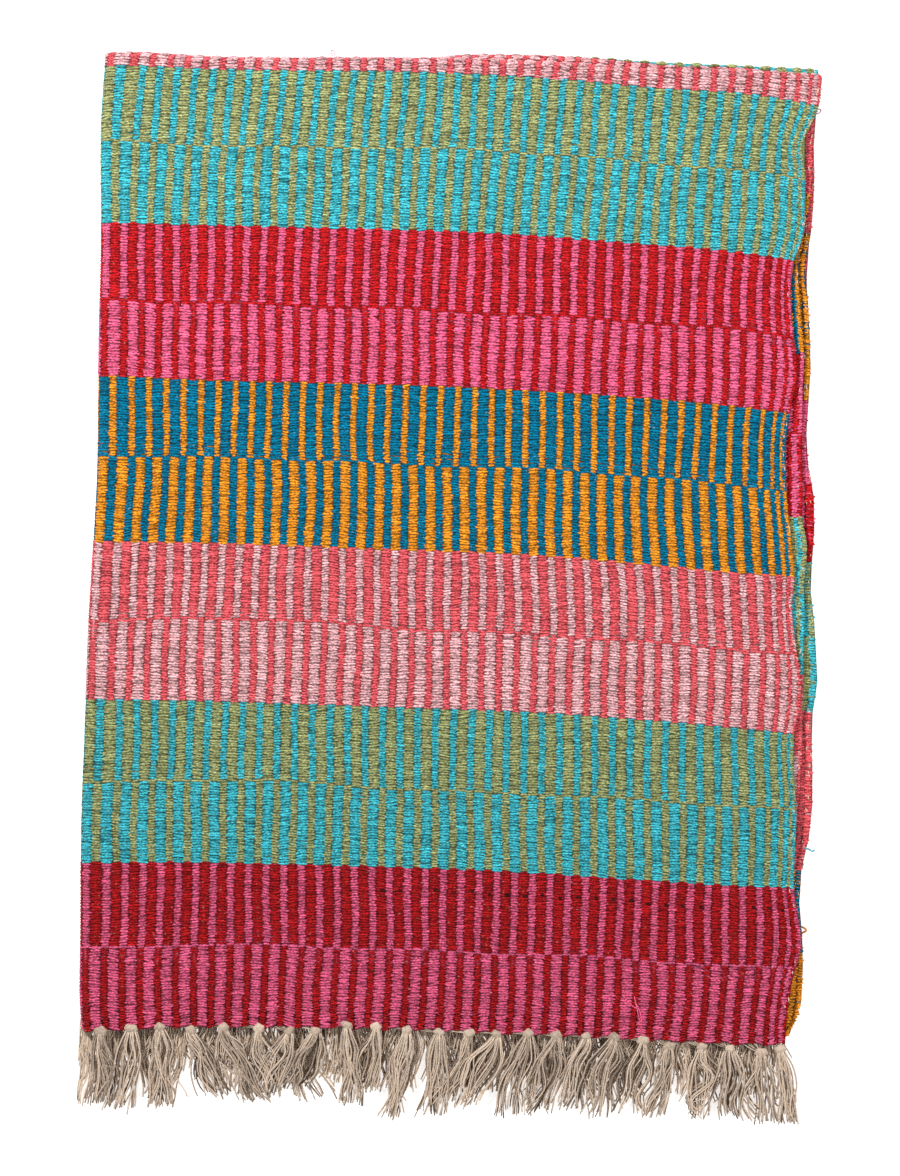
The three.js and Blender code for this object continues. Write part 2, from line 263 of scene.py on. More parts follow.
class Yarn(Enum):
    """The eight dyed wefts and the thick near-black one that slipped into a few picks."""

    RED = CottonWeft("red", "#cf1d23", 0.45, 0.85)
    PINK = CottonWeft("pink", "#fb6892", 0.45, 1.25)
    GREEN = CottonWeft("green", "#a8ae74", 0.75, 1.2)
    TURQUOISE = CottonWeft("turquoise", "#46c2d0", 0.75, 1.1)
    SALMON = CottonWeft("salmon", "#f4626a", 0.45, 0.85)
    DUSTY = CottonWeft("dusty_pink", "#f2b6ba", 0.6, 1.25)
    PETROL = CottonWeft("petrol", "#007a9e", 0.95, 1.05)
    ORANGE = CottonWeft("orange", "#f89c28", 0.0, 1.2)
    BLACK = CottonWeft("near_black", "#4a171c", 0.0, 1.5, "#7a4a48")


@dataclass(frozen=True)
class RibGround:
    """The cloth's ground under the floats: the same cottons, packed down, with painted shade in their
    crevices and between their picks.
    """

    pick_bump: float = 0.5

    def material(self) -> bpy.types.Material:
        """Make the ground's material.

        Returns:
            Matte cotton that takes each rib's colour and shows its picks as fine ridges, with painted
            shade between them and in the rib crevices.
        """
        made = bpy.data.materials.new("packed_cotton_rib_weave")
        made.use_nodes = True
        tree = made.node_tree
        tree.nodes.clear()
        yarn = add_node(tree, "ShaderNodeAttribute", {"attribute_name": "yarn"})
        hollow = add_node(tree, "ShaderNodeAttribute", {"attribute_name": "hollow"})
        weave = add_node(tree, "ShaderNodeUVMap", {"uv_map": "weave"})
        place = add_node(tree, "ShaderNodeTexCoord")
        # One ridge to a pick: the map counts picks upwards
        picks = add_node(
            tree,
            "ShaderNodeTexWave",
            {
                "wave_type": "BANDS",
                "bands_direction": "Y",
                "Scale": 0.314,
                "Distortion": 2.0,
                "Detail": 1.0,
                "Detail Scale": 1.5,
            },
            {"Vector": weave.outputs["UV"]},
        )
        fibre = add_node(
            tree,
            "ShaderNodeTexNoise",
            {"Scale": 700.0, "Detail": 2.0},
            {"Vector": place.outputs["Object"]},
        )
        ridges = add_node(
            tree,
            "ShaderNodeMath",
            {"operation": "MULTIPLY_ADD", 2: 0.0},
            {0: picks.outputs["Fac"], 1: fibre.outputs["Fac"]},
        )
        # Painted shade between the picks, mixed with the fibre's random tone
        light = add_node(
            tree,
            "ShaderNodeMapRange",
            {"From Min": 0.0, "From Max": 0.6, "To Min": 0.6, "To Max": 1.12},
            {"Value": ridges.outputs["Value"]},
        )
        # Painted shade in the rib crevices, by the hollow attribute
        depth = add_node(
            tree,
            "ShaderNodeMapRange",
            {"From Min": 0.0, "From Max": 1.0, "To Min": 1.0, "To Max": 0.22},
            {"Value": hollow.outputs["Fac"]},
        )
        amount = add_node(
            tree,
            "ShaderNodeMath",
            {"operation": "MULTIPLY"},
            {0: light.outputs["Result"], 1: depth.outputs["Result"]},
        )
        colour = add_node(
            tree,
            "ShaderNodeVectorMath",
            {"operation": "SCALE"},
            {0: yarn.outputs["Color"], "Scale": amount.outputs["Value"]},
        )
        bump = add_node(
            tree,
            "ShaderNodeBump",
            {"Strength": self.pick_bump, "Distance": 0.0008},
            {"Height": ridges.outputs["Value"]},
        )
        shader = add_node(
            tree,
            "ShaderNodeBsdfPrincipled",
            {"Roughness": 0.92, "IOR": 1.5, "Specular IOR Level": 0.2},
            {"Base Color": colour.outputs["Vector"], "Normal": bump.outputs["Normal"]},
        )
        add_node(tree, "ShaderNodeOutputMaterial", links={"Surface": shader.outputs["BSDF"]})
        return made


@dataclass(frozen=True)
class UndyedWarp:
    """Undyed plied cotton warp, grey-beige, which is knotted into the fringe."""

    label: str = "undyed_cotton_warp"
    colour: str = "#f0dac4"
    # The colour that low tones mix towards: the ply's darker turns, and the painted shade of deep
    # strands
    dark: str = "#5c4430"

    def material(self) -> bpy.types.Material:
        """Make the warp yarn's material.

        Returns:
            Matte undyed cotton with a fine ply; each strand's tone makes it a little lighter or darker,
            partly at random and partly as painted shade on deep strands and painted light on the
            tassels behind.
        """
        found = bpy.data.materials.get(self.label)
        if found:
            return found
        made = bpy.data.materials.new(self.label)
        made.use_nodes = True
        tree = made.node_tree
        tree.nodes.clear()
        tone = add_node(tree, "ShaderNodeAttribute", {"attribute_name": "tone"})
        place = add_node(tree, "ShaderNodeTexCoord")
        ply = add_node(
            tree,
            "ShaderNodeTexNoise",
            {"Scale": 500.0, "Detail": 1.0, "Roughness": 0.5},
            {"Vector": place.outputs["Object"]},
        )
        shade = add_node(
            tree,
            "ShaderNodeMath",
            {"operation": "MULTIPLY_ADD", 1: 0.5},
            {0: ply.outputs["Fac"], 2: tone.outputs["Fac"]},
        )
        level = add_node(
            tree,
            "ShaderNodeMapRange",
            {"From Min": 0.75, "From Max": 1.45},
            {"Value": shade.outputs["Value"]},
        )
        mixed = add_node(
            tree,
            "ShaderNodeMix",
            {"data_type": "RGBA", 6: linear(self.dark), 7: linear(self.colour)},
            {0: level.outputs["Result"]},
        )
        bump = add_node(
            tree,
            "ShaderNodeBump",
            {"Strength": 0.5, "Distance": 0.0004},
            {"Height": ply.outputs["Fac"]},
        )
        shader = add_node(
            tree,
            "ShaderNodeBsdfPrincipled",
            {
                "Roughness": 0.85,
                "IOR": 1.5,
                "Specular IOR Level": 0.25,
                "Sheen Weight": 0.1,
                "Sheen Roughness": 0.5,
            },
            {"Base Color": mixed.outputs[2], "Normal": bump.outputs["Normal"]},
        )
        add_node(tree, "ShaderNodeOutputMaterial", links={"Surface": shader.outputs["BSDF"]})
        return made


@dataclass
class Shape:
    """A mesh in arrays: points in millimetres, faces, and values for each point."""

    points: np.ndarray
    faces: list[np.ndarray]
    values: dict[str, np.ndarray] = field(default_factory=dict)

    def triangles(self) -> int:
        """Count the triangles that the faces come to."""
        return sum(len(f) * (f.shape[1] - 2) for f in self.faces)

    def piece(
        self,
        name: str,
        material: bpy.types.Material,
        corner_colours: np.ndarray | None = None,
        weave_map: np.ndarray | None = None,
    ) -> bpy.types.Object:
        """Make a Blender object of the arrays.

        Args:
            name: the piece's name.
            material: its finish.
            corner_colours: a colour for each face corner, if its ribs are painted.
            weave_map: a map place for each point, if its picks are counted.

        Returns:
            The object, at the origin, smooth shaded.
        """
        mesh = bpy.data.meshes.new(name)
        corners = np.concatenate([f.ravel() for f in self.faces]).astype(np.int32)
        sizes = np.concatenate([np.full(len(f), f.shape[1]) for f in self.faces])
        starts = np.concatenate([[0], np.cumsum(sizes)[:-1]]).astype(np.int32)
        mesh.vertices.add(len(self.points))
        mesh.vertices.foreach_set("co", (self.points * METRES).astype(np.float32).ravel())
        mesh.loops.add(len(corners))
        mesh.loops.foreach_set("vertex_index", corners)
        mesh.polygons.add(len(sizes))
        mesh.polygons.foreach_set("loop_start", starts)
        mesh.polygons.foreach_set("use_smooth", np.ones(len(sizes), bool))
        mesh.update(calc_edges=True)
        for key, value in self.values.items():
            layer = mesh.attributes.new(key, "FLOAT", "POINT")
            layer.data.foreach_set("value", np.asarray(value, np.float32))
        if "ridge" in self.values:
            # Only the edges that leave a float's ridge are smooth, so its flanks stay gentle
            ends = np.empty(2 * len(mesh.edges), np.int32)
            mesh.edges.foreach_get("vertices", ends)
            on_ridge = np.asarray(self.values["ridge"], bool)[ends.reshape(-1, 2)]
            layer = mesh.attributes.new("sharp_edge", "BOOLEAN", "EDGE")
            layer.data.foreach_set("value", ~on_ridge.any(axis=1))
        if corner_colours is not None:
            layer = mesh.attributes.new("yarn", "FLOAT_COLOR", "CORNER")
            layer.data.foreach_set("color", corner_colours.astype(np.float32).ravel())
        if weave_map is not None:
            layer = mesh.uv_layers.new(name="weave")
            layer.data.foreach_set("uv", weave_map[corners].astype(np.float32).ravel())
        mesh.validate()
        mesh.materials.append(material)
        made = bpy.data.objects.new(name, mesh)
        bpy.context.scene.collection.objects.link(made)
        return made


def join_shapes(shapes: list[Shape]) -> Shape:
    """Join several shapes into one.

    Args:
        shapes: shapes that carry the same values.

    Returns:
        One shape with all their points and faces.
    """
    starts = np.cumsum([0] + [len(s.points) for s in shapes])
    faces = [f + start for s, start in zip(shapes, starts) for f in s.faces]
    keys = shapes[0].values
    values = {k: np.concatenate([s.values[k] for s in shapes]) for k in keys}
    return Shape(np.concatenate([s.points for s in shapes]), faces, values)


def tubes(
    lines: np.ndarray,
    radii: np.ndarray,
    sides: int,
    upright: tuple[float, float, float] = (0.0, 0.0, 1.0),
) -> Shape:
    """Lay a closed tube along each of many lines.

    Args:
        lines: points of each line, as lines x points x 3.
        radii: radius at each point, as lines x points.
        sides: how many sides a tube has, 3 or 4.
        upright: a direction that no line runs along.

    Returns:
        All the tubes as one shape.
    """
    count, steps, _ = lines.shape
    forward = np.gradient(lines, axis=1)
    forward /= np.linalg.norm(forward, axis=2, keepdims=True) + 1e-9
    side = np.cross(forward, np.array(upright))
    side /= np.linalg.norm(side, axis=2, keepdims=True) + 1e-9
    normal = np.cross(forward, side)
    angles = 2 * math.pi * (np.arange(sides) + 0.25) / sides
    ring = (
        np.cos(angles)[None, None, :, None] * side[:, :, None, :]
        + np.sin(angles)[None, None, :, None] * normal[:, :, None, :]
    )
    points = lines[:, :, None, :] + ring * radii[:, :, None, None]
    index = np.arange(count * steps * sides).reshape(count, steps, sides)
    turned = np.roll(index, -1, axis=2)
    walls = np.stack([index[:, :-1], turned[:, :-1], turned[:, 1:], index[:, 1:]], axis=-1)
    ends = np.concatenate([index[:, 0, ::-1], index[:, -1]])
    return Shape(points.reshape(-1, 3), [walls.reshape(-1, 4), ends])


@dataclass(frozen=True)
class Fold:
    """The blanket's two folds, from the solid's own sizes."""

    width: float = 1300.0
    thickness: float = 4.0
    crest_radius: float = 2.5
    left_radius: float = 5.0
    bands: tuple = (153.3, 148.7, 144.1, 150.5, 139.6, 143.2, 146.0, 151.9, 148.2, 136.8, 144.1, 151.4)
    # across, y of the crest line, how far it lies past the sixth band
    crest: tuple = (
        (0, 468.0, 28.6), (60, 471.8, 21.5), (145, 473.2, 17.7), (244, 479.6, 14.9),
        (367, 483.5, 13.1), (546, 484.4, 11.6), (625, 488.6, 12.5), (650, 488.2, 12.5),
        (760, 484.0, 10.0), (930, 483.6, 7.0), (975, 487.7, 6.0), (1060, 486.6, 0.5),
        (1158, 480.6, -2.5), (1240, 477.1, -2.8), (1300, 474.0, -7.6),
    )
    outer_places: tuple = (0, 60, 165, 250, 367, 546, 650, 1300)
    # edge number, then its y at each of the outer places
    outer_edges: tuple = (
        (5, 298.5, 306.5, 315.0, 321.5, 326.5, 330.5, 333.0, 340.5),
        (4, 159.0, 166.3, 175.0, 180.0, 185.0, 189.3, 193.4, 203.3),
        (3, 10.3, 14.3, 24.0, 30.5, 35.0, 41.0, 42.4, 55.4),
        (2, -133.5, -127.0, -118.5, -113.0, -108.8, -103.0, -101.3, -86.2),
        (1, -273.4, -271.0, -264.5, -259.0, -254.2, -250.0, -250.0, -232.4),
        (0, -416.5, -415.0, -410.0, -406.5, -402.0, -399.6, -403.2, -383.1),
    )
    inner_places: tuple = (0, 650, 1300)
    # edge number, then its y at each of the inner places
    inner_edges: tuple = (
        (7, 360.4, 355.8, 323.9),
        (8, 214.4, 205.0, 172.0),
        (9, 64.8, 57.9, 23.7),
        (10, -79.4, -77.9, -113.1),
        (11, -225.3, -220.9, -257.3),
        (12, -375.9, -371.2, -408.7),
    )
    # y, x of the left fold's outermost line
    left_fold: tuple = (
        (490, -315.0), (415, -319.8), (313, -319.3), (236, -321.1), (110, -322.9),
        (80, -324.2), (12, -328.2), (-36, -331.0), (-138, -334.8), (-175, -336.3),
        (-212, -337.6), (-312, -338.0), (-372, -338.6), (-405, -336.8), (-490, -337.0),
    )
    middle_place: float = 367.0
    # y, x of a rib line down the middle, x of the selvedge's own lean
    lean: tuple = (
        (490, -29.4, 338.0), (327, -41.2, 320.0), (140, -47.8, 310.5), (85, -47.8, 308.0),
        (35, -48.8, 311.0), (-30, -49.4, 318.0), (-130, -51.9, 315.5), (-255, -53.3, 316.0),
        (-320, -53.6, 313.0), (-367, -55.2, 313.0), (-410, -57.4, 308.5), (-490, -60.0, 306.0),
    )
    # y, how far the ribs near the left fold run to the right of it
    slip: tuple = (
        (490, 6.8), (468, 6.4), (420, 4.0), (380, 1.6), (340, 0.5), (280, 0.6), (230, 2.2),
        (100, 2.4), (0, 2.0), (-230, 2.8), (-290, 2.4), (-360, 1.0), (-420, 0.0),
    )
    slip_reach: float = 16.0
    # y, x of each selvedge as it wanders
    front_outer: tuple = (
        (470, 339.3), (438, 335.7), (402, 322.0), (375, 323.5), (322, 321.5), (285, 311.0),
        (232, 312.5), (190, 316.0), (150, 308.5), (100, 305.5), (45, 311.0), (8, 314.5),
        (-20, 311.0), (-100, 320.5), (-142, 313.0), (-220, 316.0), (-272, 313.5),
        (-328, 319.3), (-365, 311.0), (-416, 305.3), (-490, 303.0),
    )
    front_inner: tuple = (
        (470, 335.0), (360, 329.0), (300, 318.5), (212, 322.5), (67, 321.5), (40, 326.0),
        (-10, 323.5), (-150, 321.0), (-215, 315.5), (-260, 311.0), (-376, 305.0), (-490, 303.0),
    )
    back_inner: tuple = (
        (472, 336.6), (400, 333.0), (340, 331.2), (289, 324.8), (252, 328.0), (177, 328.6),
        (145, 326.0), (115, 327.0), (88, 331.2), (44, 333.2), (10, 329.8), (-44, 333.0),
        (-79, 335.7), (-104, 334.0), (-125, 330.4), (-172, 331.0),
        (-230, 328.4), (-256, 321.5), (-295, 319.3), (-345, 323.0), (-390, 319.3),
        (-409, 310.2), (-490, 308.0),
    )
    back_outer: tuple = (
        (472, 335.0), (200, 325.0), (-80, 327.0), (-300, 317.0), (-383, 312.0), (-490, 309.0),
    )
    wander_power: float = 22.0
    # y, share of its closed height that the stack stands at
    loft: tuple = (
        (490, 1.16), (462, 1.2), (400, 1.05), (180, 1.0), (0, 1.03), (-200, 1.0),
        (-386, 1.0), (-425, 0.84), (-490, 0.72),
    )
    left_loft: tuple = (0.16, 34.0, -420.0, 40.0)
    # The knots draw the woven end up between its soft scallops
    scallop: float = 1.3
    tassel_pitch: float = 27.1
    first_tassel: float = 5.0
    scallop_fade: float = 9.0
    rib_sway: float = 0.55

    @property
    def edges(self) -> np.ndarray:
        """Distance of each band's edge from the first end."""
        return np.concatenate([[0.0], np.cumsum(self.bands)])

    @property
    def length(self) -> float:
        """Woven length between the two fringes."""
        return float(sum(self.bands))

    @property
    def middle_edge(self) -> float:
        """Distance of the edge between the sixth and seventh bands."""
        return float(self.edges[len(self.bands) // 2])

    @property
    def crest_bend(self) -> float:
        """Length of cloth from the crest line to either end of its bend."""
        return math.pi / 2 * self.crest_radius

    def read(self, table: tuple, column: int, at: np.ndarray) -> np.ndarray:
        """Read one column of a table of rows that start with their place."""
        rows = np.array(table, float)
        return smooth_through(rows[:, 0], rows[:, column], at)

    def crest_along(self, across: np.ndarray) -> np.ndarray:
        """Distance of the crest line from the first end."""
        return self.middle_edge + self.read(self.crest, 2, across)

    def crest_axis(self, across: np.ndarray) -> np.ndarray:
        """The y of the axis that the cloth bends round at the crest."""
        return self.read(self.crest, 1, across) - self.crest_radius - self.thickness / 2

    def layer_y(self, across: np.ndarray, along: np.ndarray) -> np.ndarray:
        """Give the y of the flat part of a layer.

        Args:
            across: places over the width.
            along: places up the warp.

        Returns:
            The y of each point, between the crest's bend and the woven end.
        """
        crest = self.crest_along(across)
        past = np.abs(along - crest) - self.crest_bend
        result = np.empty(len(across))
        sides = (
            (along < crest, self.outer_places, self.outer_edges),
            (along >= crest, self.inner_places, self.inner_edges),
        )
        for chosen, places, table in sides:
            if not chosen.any():
                continue
            over = across[chosen]
            distances = [np.zeros(len(over))]
            heights = [self.crest_axis(over)]
            for row in table:
                edge = self.edges[row[0]]
                distances.append(np.abs(edge - crest[chosen]) - self.crest_bend)
                heights.append(smooth_through(np.array(places), np.array(row[1:]), over))
            result[chosen] = smooth_through(np.array(distances), np.array(heights), past[chosen])
        return result

    def stack_loft(self, x: np.ndarray, y: np.ndarray) -> np.ndarray:
        """Give the share of its closed height that the stack stands at.

        Args:
            x: places in x.
            y: places in y.

        Returns:
            The share, with a soft unevenness like that of a folded heavy cloth.
        """
        share, reach, start, over = self.left_loft
        from_fold = x - self.read(self.left_fold, 1, y)
        rise = share * np.exp(-((from_fold / reach) ** 2))
        on_cloth = np.clip((y - start) / over, 0, 1)
        uneven = 0.022 * np.sin(x / 41 + 1.7 * np.sin(y / 83)) * np.sin(y / 57 + 0.8)
        return self.read(self.loft, 1, y) + rise * on_cloth + uneven * on_cloth

    def place_across(
        self,
        reach: np.ndarray,
        y: np.ndarray,
        front: np.ndarray,
        outer_share: np.ndarray,
        selvedge_reach: np.ndarray,
    ) -> np.ndarray:
        """Give the x of points by their distance from the left fold's axis.

        Args:
            reach: distance right of the axis, along the cloth.
            y: places in y.
            front: whether a point is on the front half.
            outer_share: 1 on the outer layer, 0 on the inner one.
            selvedge_reach: reach of the selvedge.

        Returns:
            The x of each point.
        """
        axis = self.read(self.left_fold, 1, y) + self.left_radius + self.crest_radius
        axis = axis + self.thickness / 2
        front_x = self.read(self.front_outer, 1, y) * outer_share
        front_x += self.read(self.front_inner, 1, y) * (1 - outer_share)
        back_x = self.read(self.back_outer, 1, y) * outer_share
        back_x += self.read(self.back_inner, 1, y) * (1 - outer_share)
        wandering = np.where(front, front_x, back_x)
        straight = self.read(self.lean, 2, y)
        middle = self.read(self.lean, 1, y)
        middle_reach = selvedge_reach - self.middle_place
        held = np.maximum(reach, 0)
        x = smooth_through(
            np.stack([np.zeros_like(middle_reach), middle_reach, selvedge_reach]),
            np.stack([axis, middle, straight]),
            held,
        )
        slipping = np.minimum(held / self.slip_reach, 1)
        to_middle = (held - self.slip_reach) / (middle_reach - self.slip_reach)
        x += self.read(self.slip, 1, y) * slipping * (1 - np.clip(to_middle, 0, 1))
        share = np.clip(held / selvedge_reach, 0, None)
        x += (wandering - straight) * share**self.wander_power
        x += np.maximum(reach - selvedge_reach, 0)
        sway = np.sin(y / 21 + 2.6 * np.sin(x / 67)) + 0.6 * np.sin(y / 9.3 + x / 19)
        x += self.rib_sway * sway * np.clip(held / 25, 0, 1)
        return np.where(reach <= 0, axis + reach, x)

    def place(self, across: np.ndarray, along: np.ndarray, lift: np.ndarray) -> np.ndarray:
        """Place points of the cloth in the folded blanket.

        Args:
            across: places over the woven width; a little past it is past a selvedge.
            along: places up the warp; a little past it is past a woven end.
            lift: heights over the cloth's middle.

        Returns:
            The points, as points x 3.
        """
        across, along, lift = (
            a.ravel() for a in np.broadcast_arrays(across * 1.0, along * 1.0, lift * 1.0)
        )
        on_cloth = np.clip(across, 0, self.width)
        past = along - self.crest_along(on_cloth)
        quarter = math.pi / 2
        turn = np.clip(past / self.crest_radius, -quarter, quarter)
        in_bend = np.abs(past) < self.crest_bend
        height = -self.crest_radius * np.sin(turn)
        outer_share = (1 + height / self.crest_radius) / 2

        radius = self.left_radius + height
        from_fold = across - self.width / 2
        swing = np.clip(from_fold / radius, -quarter, quarter)
        beyond = np.abs(from_fold) - quarter * radius
        reach = np.where(beyond > 0, beyond, -radius * np.cos(swing))
        level = -radius * np.sin(swing)
        outward_x = np.where(beyond > 0, 0.0, -np.cos(swing))
        outward_z = -np.sin(swing)

        held = np.clip(along, 0, self.length)
        over = along - held
        y = np.where(
            in_bend,
            self.crest_axis(on_cloth) + self.crest_radius * np.cos(turn),
            self.layer_y(on_cloth, held) - np.abs(over),
        )
        wave = np.cos(2 * math.pi * (on_cloth - self.first_tassel) / self.tassel_pitch)
        near_end = np.exp(-held / self.scallop_fade)
        near_end += np.exp(-(self.length - held) / self.scallop_fade)
        y = y + self.scallop * wave * near_end
        selvedge_reach = self.width / 2 - quarter * radius
        x = self.place_across(reach, y, from_fold < 0, outer_share, selvedge_reach)
        closed = level + self.left_radius + self.crest_radius
        z = self.thickness / 2 + closed * self.stack_loft(x, y)

        outward = -np.sin(turn) * lift
        return np.stack(
            [
                x + outward_x * outward,
                y + np.where(in_bend, np.cos(turn) * lift, 0.0),
                z + outward_z * outward,
            ],
            axis=1,
        )


@dataclass(frozen=True)
class Weave:
    """Layout of the ribs, bands and picks on the flat cloth."""

    fold: Fold
    # widths of the ribs that are drawn in at each selvedge, outermost first
    front_ribs: tuple = (3.2, 3.7, 4.3, 5.2, 6.0, 6.6, 7.5, 7.6, 7.7, 7.75, 7.8, 7.85)
    back_ribs: tuple = (4.5, 5.2, 6.0, 6.5, 7.0, 7.4)
    # The front half is woven a little more openly than the back half
    rib: float = 8.03
    front_count: int = 72
    count: int = 168
    # A wide rib takes this share of its neighbours' width at each side
    widening: float = 0.095
    pick: float = 2.45
    # Yarn pairs of a group of four bands, from the first end: the first yarn is on the
    # wide ribs of the half of the band that lies nearer the second end
    pairs: tuple = (
        (Yarn.RED, Yarn.PINK),
        (Yarn.GREEN, Yarn.TURQUOISE),
        (Yarn.SALMON, Yarn.DUSTY),
        (Yarn.PETROL, Yarn.ORANGE),
    )
    # Where a band's colours swap, as a share of the band at places across, which read
    # from the front selvedge to the left fold; bands that don't show swap at their middle
    swap_places: tuple = (26, 193, 341, 490, 638)
    swaps: tuple = (
        (0.49, 0.50, 0.49, 0.50, 0.49),
        (0.51, 0.50, 0.49, 0.52, 0.49),
        (0.51, 0.50, 0.50, 0.53, 0.50),
        (0.53, 0.53, 0.52, 0.53, 0.52),
        (0.50, 0.49, 0.49, 0.50, 0.50),
        (0.52, 0.52, 0.52, 0.51, 0.52),
    )
    # The yarn that runs on from rib to rib where the colours swap, by band: above 0 it is
    # the first of the pair, below 0 the second, in picks that it gains on each rib
    bridge: tuple = (-0.1, 0.1, 0.75, -0.1, 0.75, 0.0, 0.5, 0.0, 0.0, 0.0, 0.5, 0.0)
    # The first two bands are dyed deeper: the share of light that their yarns give back
    deeper: tuple = ({Yarn.RED: 0.66, Yarn.PINK: 0.76}, {Yarn.GREEN: 0.88, Yarn.TURQUOISE: 0.9})

    @property
    def pitches(self) -> np.ndarray:
        """Width of each rib, over the whole width.

        Returns:
            One width for every rib, from the front selvedge to the back one.
        """
        front = np.array(self.front_ribs)
        back = np.array(self.back_ribs)
        open_ribs = np.full(self.front_count, self.rib)
        rest = self.count - len(front) - len(back) - self.front_count
        left = self.fold.width - front.sum() - back.sum() - open_ribs.sum()
        return np.concatenate([front, open_ribs, np.full(rest, left / rest), back[::-1]])

    def rib_edges(self, band: int) -> np.ndarray:
        """Places of the rib edges in a band.

        Args:
            band: number of the band, from the first end.

        Returns:
            One place more than there are ribs, from selvedge to selvedge.
        """
        pitches = self.pitches
        edges = np.concatenate([[0.0], np.cumsum(pitches)])
        wide = self.is_wide(np.arange(len(pitches)), band)
        inner = np.minimum(pitches[:-1], pitches[1:]) * self.widening
        edges[1:-1] += np.where(wide[:-1], inner, -inner)
        return edges

    def is_wide(self, rib: np.ndarray, band: int) -> np.ndarray:
        """Whether a rib is a wide one in a band: they swap at every band's edge."""
        return (np.asarray(rib) + band) % 2 == 1

    def half_line(self, across: np.ndarray, band: int) -> np.ndarray:
        """Find where up the warp a band's two colours swap, which wanders a little.

        Args:
            across: places over the width.
            band: number of the band.

        Returns:
            The place up the warp at each of them.
        """
        edges = self.fold.edges
        share = np.full(np.shape(across), 0.5)
        if band < len(self.swaps):
            row = np.array(self.swaps[band])
            share = smooth_through(np.array(self.swap_places), row, across)
        middle = edges[band] + share * (edges[band + 1] - edges[band])
        return middle + 0.9 * np.sin(across / 24 + 1.3 * band)

    def yarn(self, band: int, upper: bool, wide: bool, face: int) -> Yarn:
        """Tell which yarn covers a rib.

        Args:
            band: number of the band.
            upper: whether it is the half of the band nearer the second end.
            wide: whether the rib is a wide one.
            face: 1 on the face that is outermost when folded, -1 on the other.

        Returns:
            The yarn.
        """
        first, second = self.pairs[band % len(self.pairs)]
        return first if (upper == wide) == (face == 1) else second

    def dye(self, band: int, yarn: Yarn) -> float:
        """Share of its light that a yarn gives back in a band."""
        return self.deeper[band].get(yarn, 1.0) if band < len(self.deeper) else 1.0

    def outer_distance(self, crest: float, along: np.ndarray) -> np.ndarray:
        """Measure up the outermost face, which is longer round the crest.

        Args:
            crest: distance of the crest line from the first end.
            along: places up the warp.

        Returns:
            Their distances up the face.
        """
        bend = self.fold.crest_bend
        extra = self.fold.thickness / 2 / self.fold.crest_radius
        return along + extra * np.clip(along - (crest - bend), 0, 2 * bend)

    def along_from(self, crest: float, distance: np.ndarray) -> np.ndarray:
        """Turn distances up the outermost face to places up the warp.

        Args:
            crest: distance of the crest line from the first end.
            distance: distances up the face.

        Returns:
            The places up the warp.
        """
        bend = self.fold.crest_bend
        marks = np.array([-1e4, crest - bend, crest + bend, 1e4])
        return np.interp(distance, self.outer_distance(crest, marks), marks)


@dataclass(frozen=True)
class Patch:
    """A part of one face of the cloth that shows, and so has its floats laid."""

    name: str
    first: float
    last: float
    face: int
    # Limits up the warp: from and to, either from the first end or from the crest
    start: float
    stop: float
    from_crest: bool = False
    # Lower layers are painted a little brighter: painted light that makes up for the shade the layers
    # above cast on them
    shade: float = 1.0


